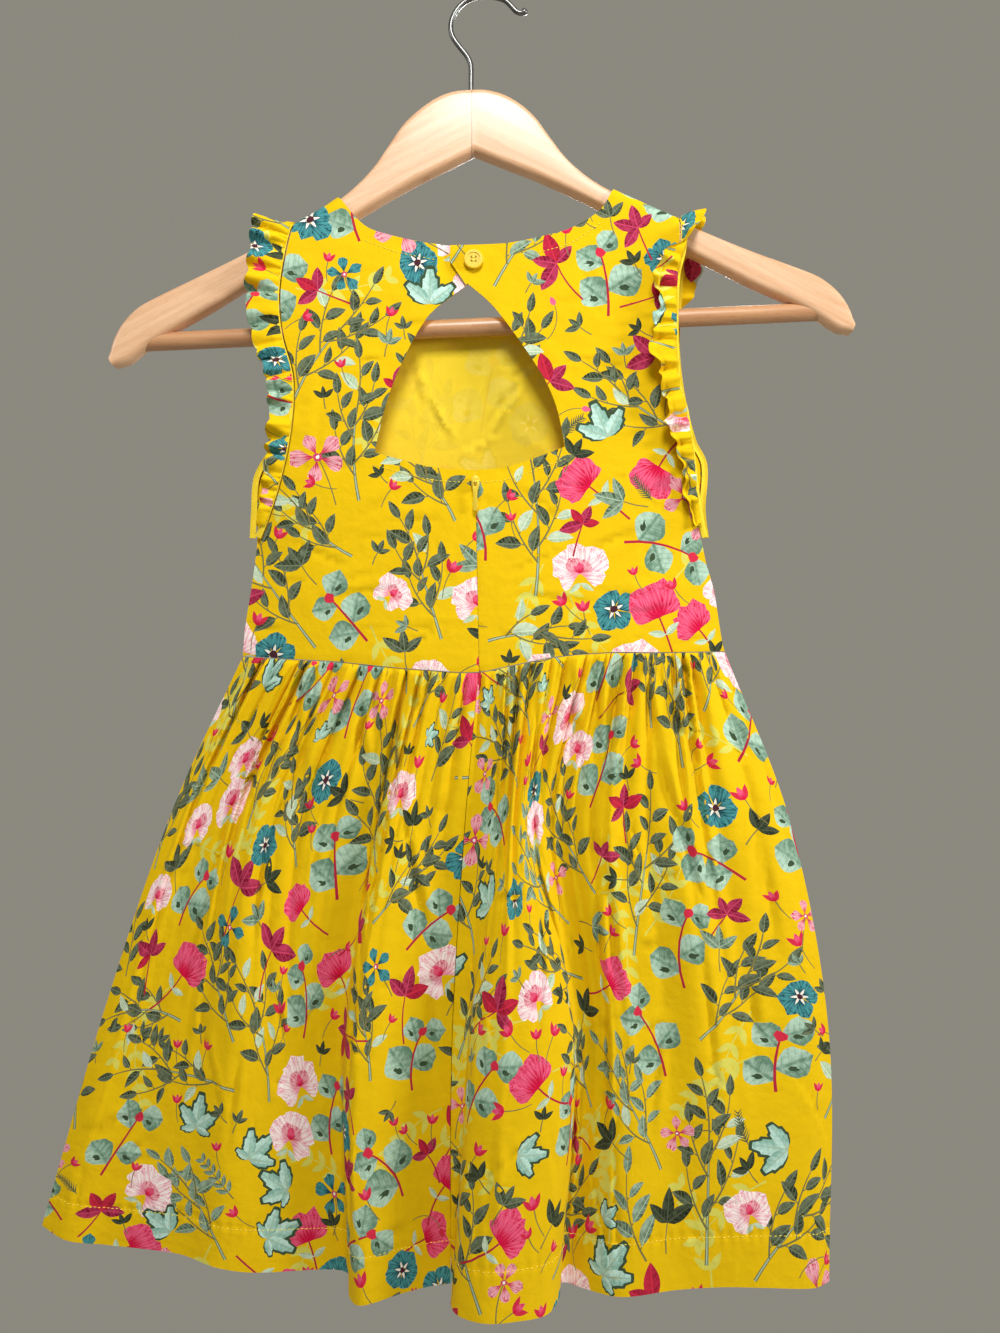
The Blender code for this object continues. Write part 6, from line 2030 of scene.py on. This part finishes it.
def set_along(name: str, points: Array, turns: Sequence, material: Material, length: float,
              radius: float) -> None:
    """Sets small bars of thread or coil at points.

    Args:
        name: The piece's name.
        points: Their middles.
        turns: Their Euler angles, from lying along X.
        material: What they are made of.
        length: Their length.
        radius: Their radius.
    """
    seeds = bpy.data.meshes.new(name + "_points")
    seeds.from_pydata([Vector(p) * MM for p in points], [], [])
    layer = seeds.attributes.new("turn", "FLOAT_VECTOR", "POINT")
    layer.data.foreach_set("vector", np.asarray(turns, np.float32).ravel())
    holder = in_scene(name + "_points", seeds)
    nodes = holder.modifiers.new("set bars", "NODES")
    tree = bpy.data.node_groups.get("set_bars") or repeat_group()
    nodes.node_group = tree
    words = {item.name: item.identifier for item in tree.interface.items_tree if item.in_out == "INPUT"}
    nodes[words["Length"]] = length * MM
    nodes[words["Radius"]] = radius * MM
    nodes[words["Material"]] = material
    graph = bpy.context.evaluated_depsgraph_get()
    mesh = bpy.data.meshes.new_from_object(holder.evaluated_get(graph))
    bpy.data.objects.remove(holder)
    add_object(name, mesh, material, GARMENT)


@dataclass
class Stitching:
    """Runs of stitches that lie on the cloth."""

    thread: Material
    length: float = 1.9
    pitch: float = 2.7
    radius: float = 0.24

    def run(self, name: str, form: FlatForm, flat: Sequence[tuple[float, float]], outward: int,
            across: bool = False) -> None:
        """Sews along a flat line.

        Args:
            name: The piece's name.
            form: The cloth's hanging form.
            flat: The flat line.
            outward: 1 if the flat cloth's own side faces out, or else -1.
            across: Whether the stitches lie across the line.
        """
        line = np.array(smooth_line(flat, self.pitch))
        u, v = line.T
        here, step = form(u, v), 0.4
        over, up = form(u + step, v) - form(u - step, v), form(u, v + step) - form(u, v - step)
        normal = np.cross(over, up) * outward
        normal /= np.linalg.norm(normal, axis=1)[:, None]
        along = np.gradient(here, axis=0)
        if across:
            along = np.cross(normal, along)
        along -= normal * (along * normal).sum(1)[:, None]
        along /= np.linalg.norm(along, axis=1)[:, None]
        turns = [Matrix((t, np.cross(n, t), n)).transposed().to_euler() for t, n in zip(along, normal)]
        points = here + normal * (0.25 + self.radius * 0.5)
        set_along(name, points, turns, self.thread, self.length, self.radius)


@dataclass
class Sewing:
    """All the sewing that shows."""

    thread: Material

    def build(self) -> None:
        """Sews the hems, the neckline, the cut-out's floor and the buttonhole, and the button on."""
        stitches = Stitching(self.thread)
        down = HEM_DOWN - HEM_FOLD + 1.0
        ends = [(2.0, -down), (SKIRT_CUT_WIDTH - 2.0, -down)]
        stitches.run("hem_stitches_back", BACK_SKIRT, ends, 1)
        stitches.run("hem_stitches_front", FRONT_SKIRT, ends, -1)
        for left in (True, False):
            word = "left" if left else "right"
            form = back_panel_form(left)
            neck = NECK_BACK_LEFT if left else NECK_BACK_RIGHT
            line = [(p.x + (1.5 if left else -1.5), p.z - 9.5) for p in neck[:3]]
            stitches.run(f"neck_stitches_{word}", form, line, 1)
            if left:
                floor = [CUT_LEFT_CORNER, *CUT_FLOOR_LEFT, (CENTRE_TOP.x - 1.5, CENTRE_TOP.z)]
            else:
                floor = [(CENTRE_TOP.x + 1.5, CENTRE_TOP.z), *CUT_FLOOR_RIGHT[::-1], CUT_RIGHT_CORNER]
            stitches.run(f"floor_stitches_{word}", form, [(x, z - 7.5) for x, z in floor], 1)
        dense = Stitching(self.thread, 1.7, 0.5, 0.2)
        for word, z in (("upper", 0.95), ("under", -0.95)):
            line = [(-12.4, BUTTON_PLACE.z + z), (-1.2, BUTTON_PLACE.z + z)]
            dense.run(f"buttonhole_{word}", back_panel_form(False), line, 1, across=True)
        self.button_thread()

    def button_thread(self) -> None:
        """Two short bars of thread through the button's four holes."""
        skin = float(bodice_point(np.array([BUTTON_PLACE.x]), np.array([BUTTON_PLACE.z]), -1)[0, 1])
        y = skin - 0.6 - SEAM_GAP - 2.4 + 0.4
        points = np.array([(BUTTON_PLACE.x, y, BUTTON_PLACE.z + z) for z in (-1.06, -0.8, 0.8, 1.06)])
        set_along("button_thread", points, 0 * points, self.thread, 2.9, 0.3)


@dataclass(frozen=True)
class Studio:
    """The camera at the photo's angle, soft light from above and a plain pale floor."""

    camera_place: tuple[float, float, float] = (0.0086, -0.650, -0.395)
    picture_height: float = 1333 * 0.592
    sensor: float = 36.0
    wall: str = "#8F8C82"
    floor_half: float = 0.7
    floor_z: float = -1.3

    def build(self) -> None:
        """Sets the scene."""
        self.place_camera()
        self.place_lights()
        self.lay_floor()

    def place_camera(self) -> None:
        """The photo's camera, level with the middle of the dress."""
        data = bpy.data.cameras.new("camera")
        data.sensor_fit = "VERTICAL"
        data.sensor_height = self.sensor
        data.lens = self.sensor * -self.camera_place[1] / MM / self.picture_height
        data.clip_start = 0.02
        camera = in_scene("camera", data)
        camera.location = self.camera_place
        camera.rotation_euler = (np.pi / 2, 0, 0)
        bpy.context.scene.camera = camera

    def place_lights(self) -> None:
        """A light over the viewer, which falls off towards the hem, one at each side and one behind."""
        world = bpy.data.worlds.new("room")
        world.use_nodes = True
        background = world.node_tree.nodes["Background"]
        background.inputs["Color"].default_value = linear(self.wall)
        background.inputs["Strength"].default_value = 0.95
        bpy.context.scene.world = world
        for name, place, aim, size, power in (
            ("over", (0.05, -0.86, 0.52), (0.0, 0.0, -0.34), 0.4, 12.4),
            ("left", (-1.2, -0.42, 0.25), (0.0, 0.0, -0.3), 0.4, 3.0),
            ("right", (1.2, -0.5, -0.05), (0.0, 0.0, -0.5), 0.35, 11.0),
            ("behind", (0.35, 1.3, 0.25), (0.0, 0.0, -0.45), 0.6, 22.0),
        ):
            data = bpy.data.lights.new(name, "AREA")
            data.shape = "DISK"
            data.size = size
            data.energy = power
            lamp = in_scene(name, data)
            lamp.location = place
            lamp.rotation_euler = (Vector(aim) - Vector(place)).to_track_quat("-Z", "Y").to_euler()

    def lay_floor(self) -> None:
        """The floor, well under the hanging dress."""
        mesh = bpy.data.meshes.new("floor")
        corners = [(x * self.floor_half, y * self.floor_half, self.floor_z)
                   for x, y in ((-1, -1), (1, -1), (1, 1), (-1, 1))]
        mesh.from_pydata(corners, [], [(0, 1, 2, 3)])
        mesh.materials.append(FLOOR_PAINT.make())
        in_scene("floor", mesh)


def main() -> None:
    """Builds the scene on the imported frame."""
    logging.basicConfig(level=logging.INFO, format="%(name)s: %(message)s")
    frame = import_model()
    face = CottonLawn("printed_cotton_lawn").make()
    wrong_side = CottonLawn("printed_cotton_lawn_wrong_side", print_strength=0.4).make()
    lining = CottonLawn("plain_cotton_lining", ground="#F4D638", ground_deep="#EBCB2E", print_strength=0.09,
                        crumple_strength=0.3).make()
    dress = Dress(face, wrong_side, lining)
    dress.bodice()
    dress.skirt()
    dress.trims()
    wood = Beech("lacquered_beech").make()
    # The bar takes a darker copy of the arms' beech. This is painted shade for the shadow that falls on the
    # bar under the arms, not a different wood.
    shaded_bar_wood = Beech("lacquered_beech_bar_painted_shade", "#CC9A6E", "#AC7850", 0.0, 0.0).make()
    CoatHanger(wood, shaded_bar_wood, STEEL_WIRE.make()).build()
    thread = THREAD.make()
    BackZip(ENAMELLED_ZINC.make(), thread).build()
    Sewing(thread).build()
    tape = ZIP_TAPE.make()
    for node, material in (("button", BUTTON.make()), ("zip_tape_left", tape), ("zip_tape_right", tape)):
        frame["nodes"][node].data.materials.clear()
        frame["nodes"][node].data.materials.append(material)
    Studio().build()
    bpy.context.scene.view_settings.view_transform = "Standard"


if __name__ == "__main__":
    main()
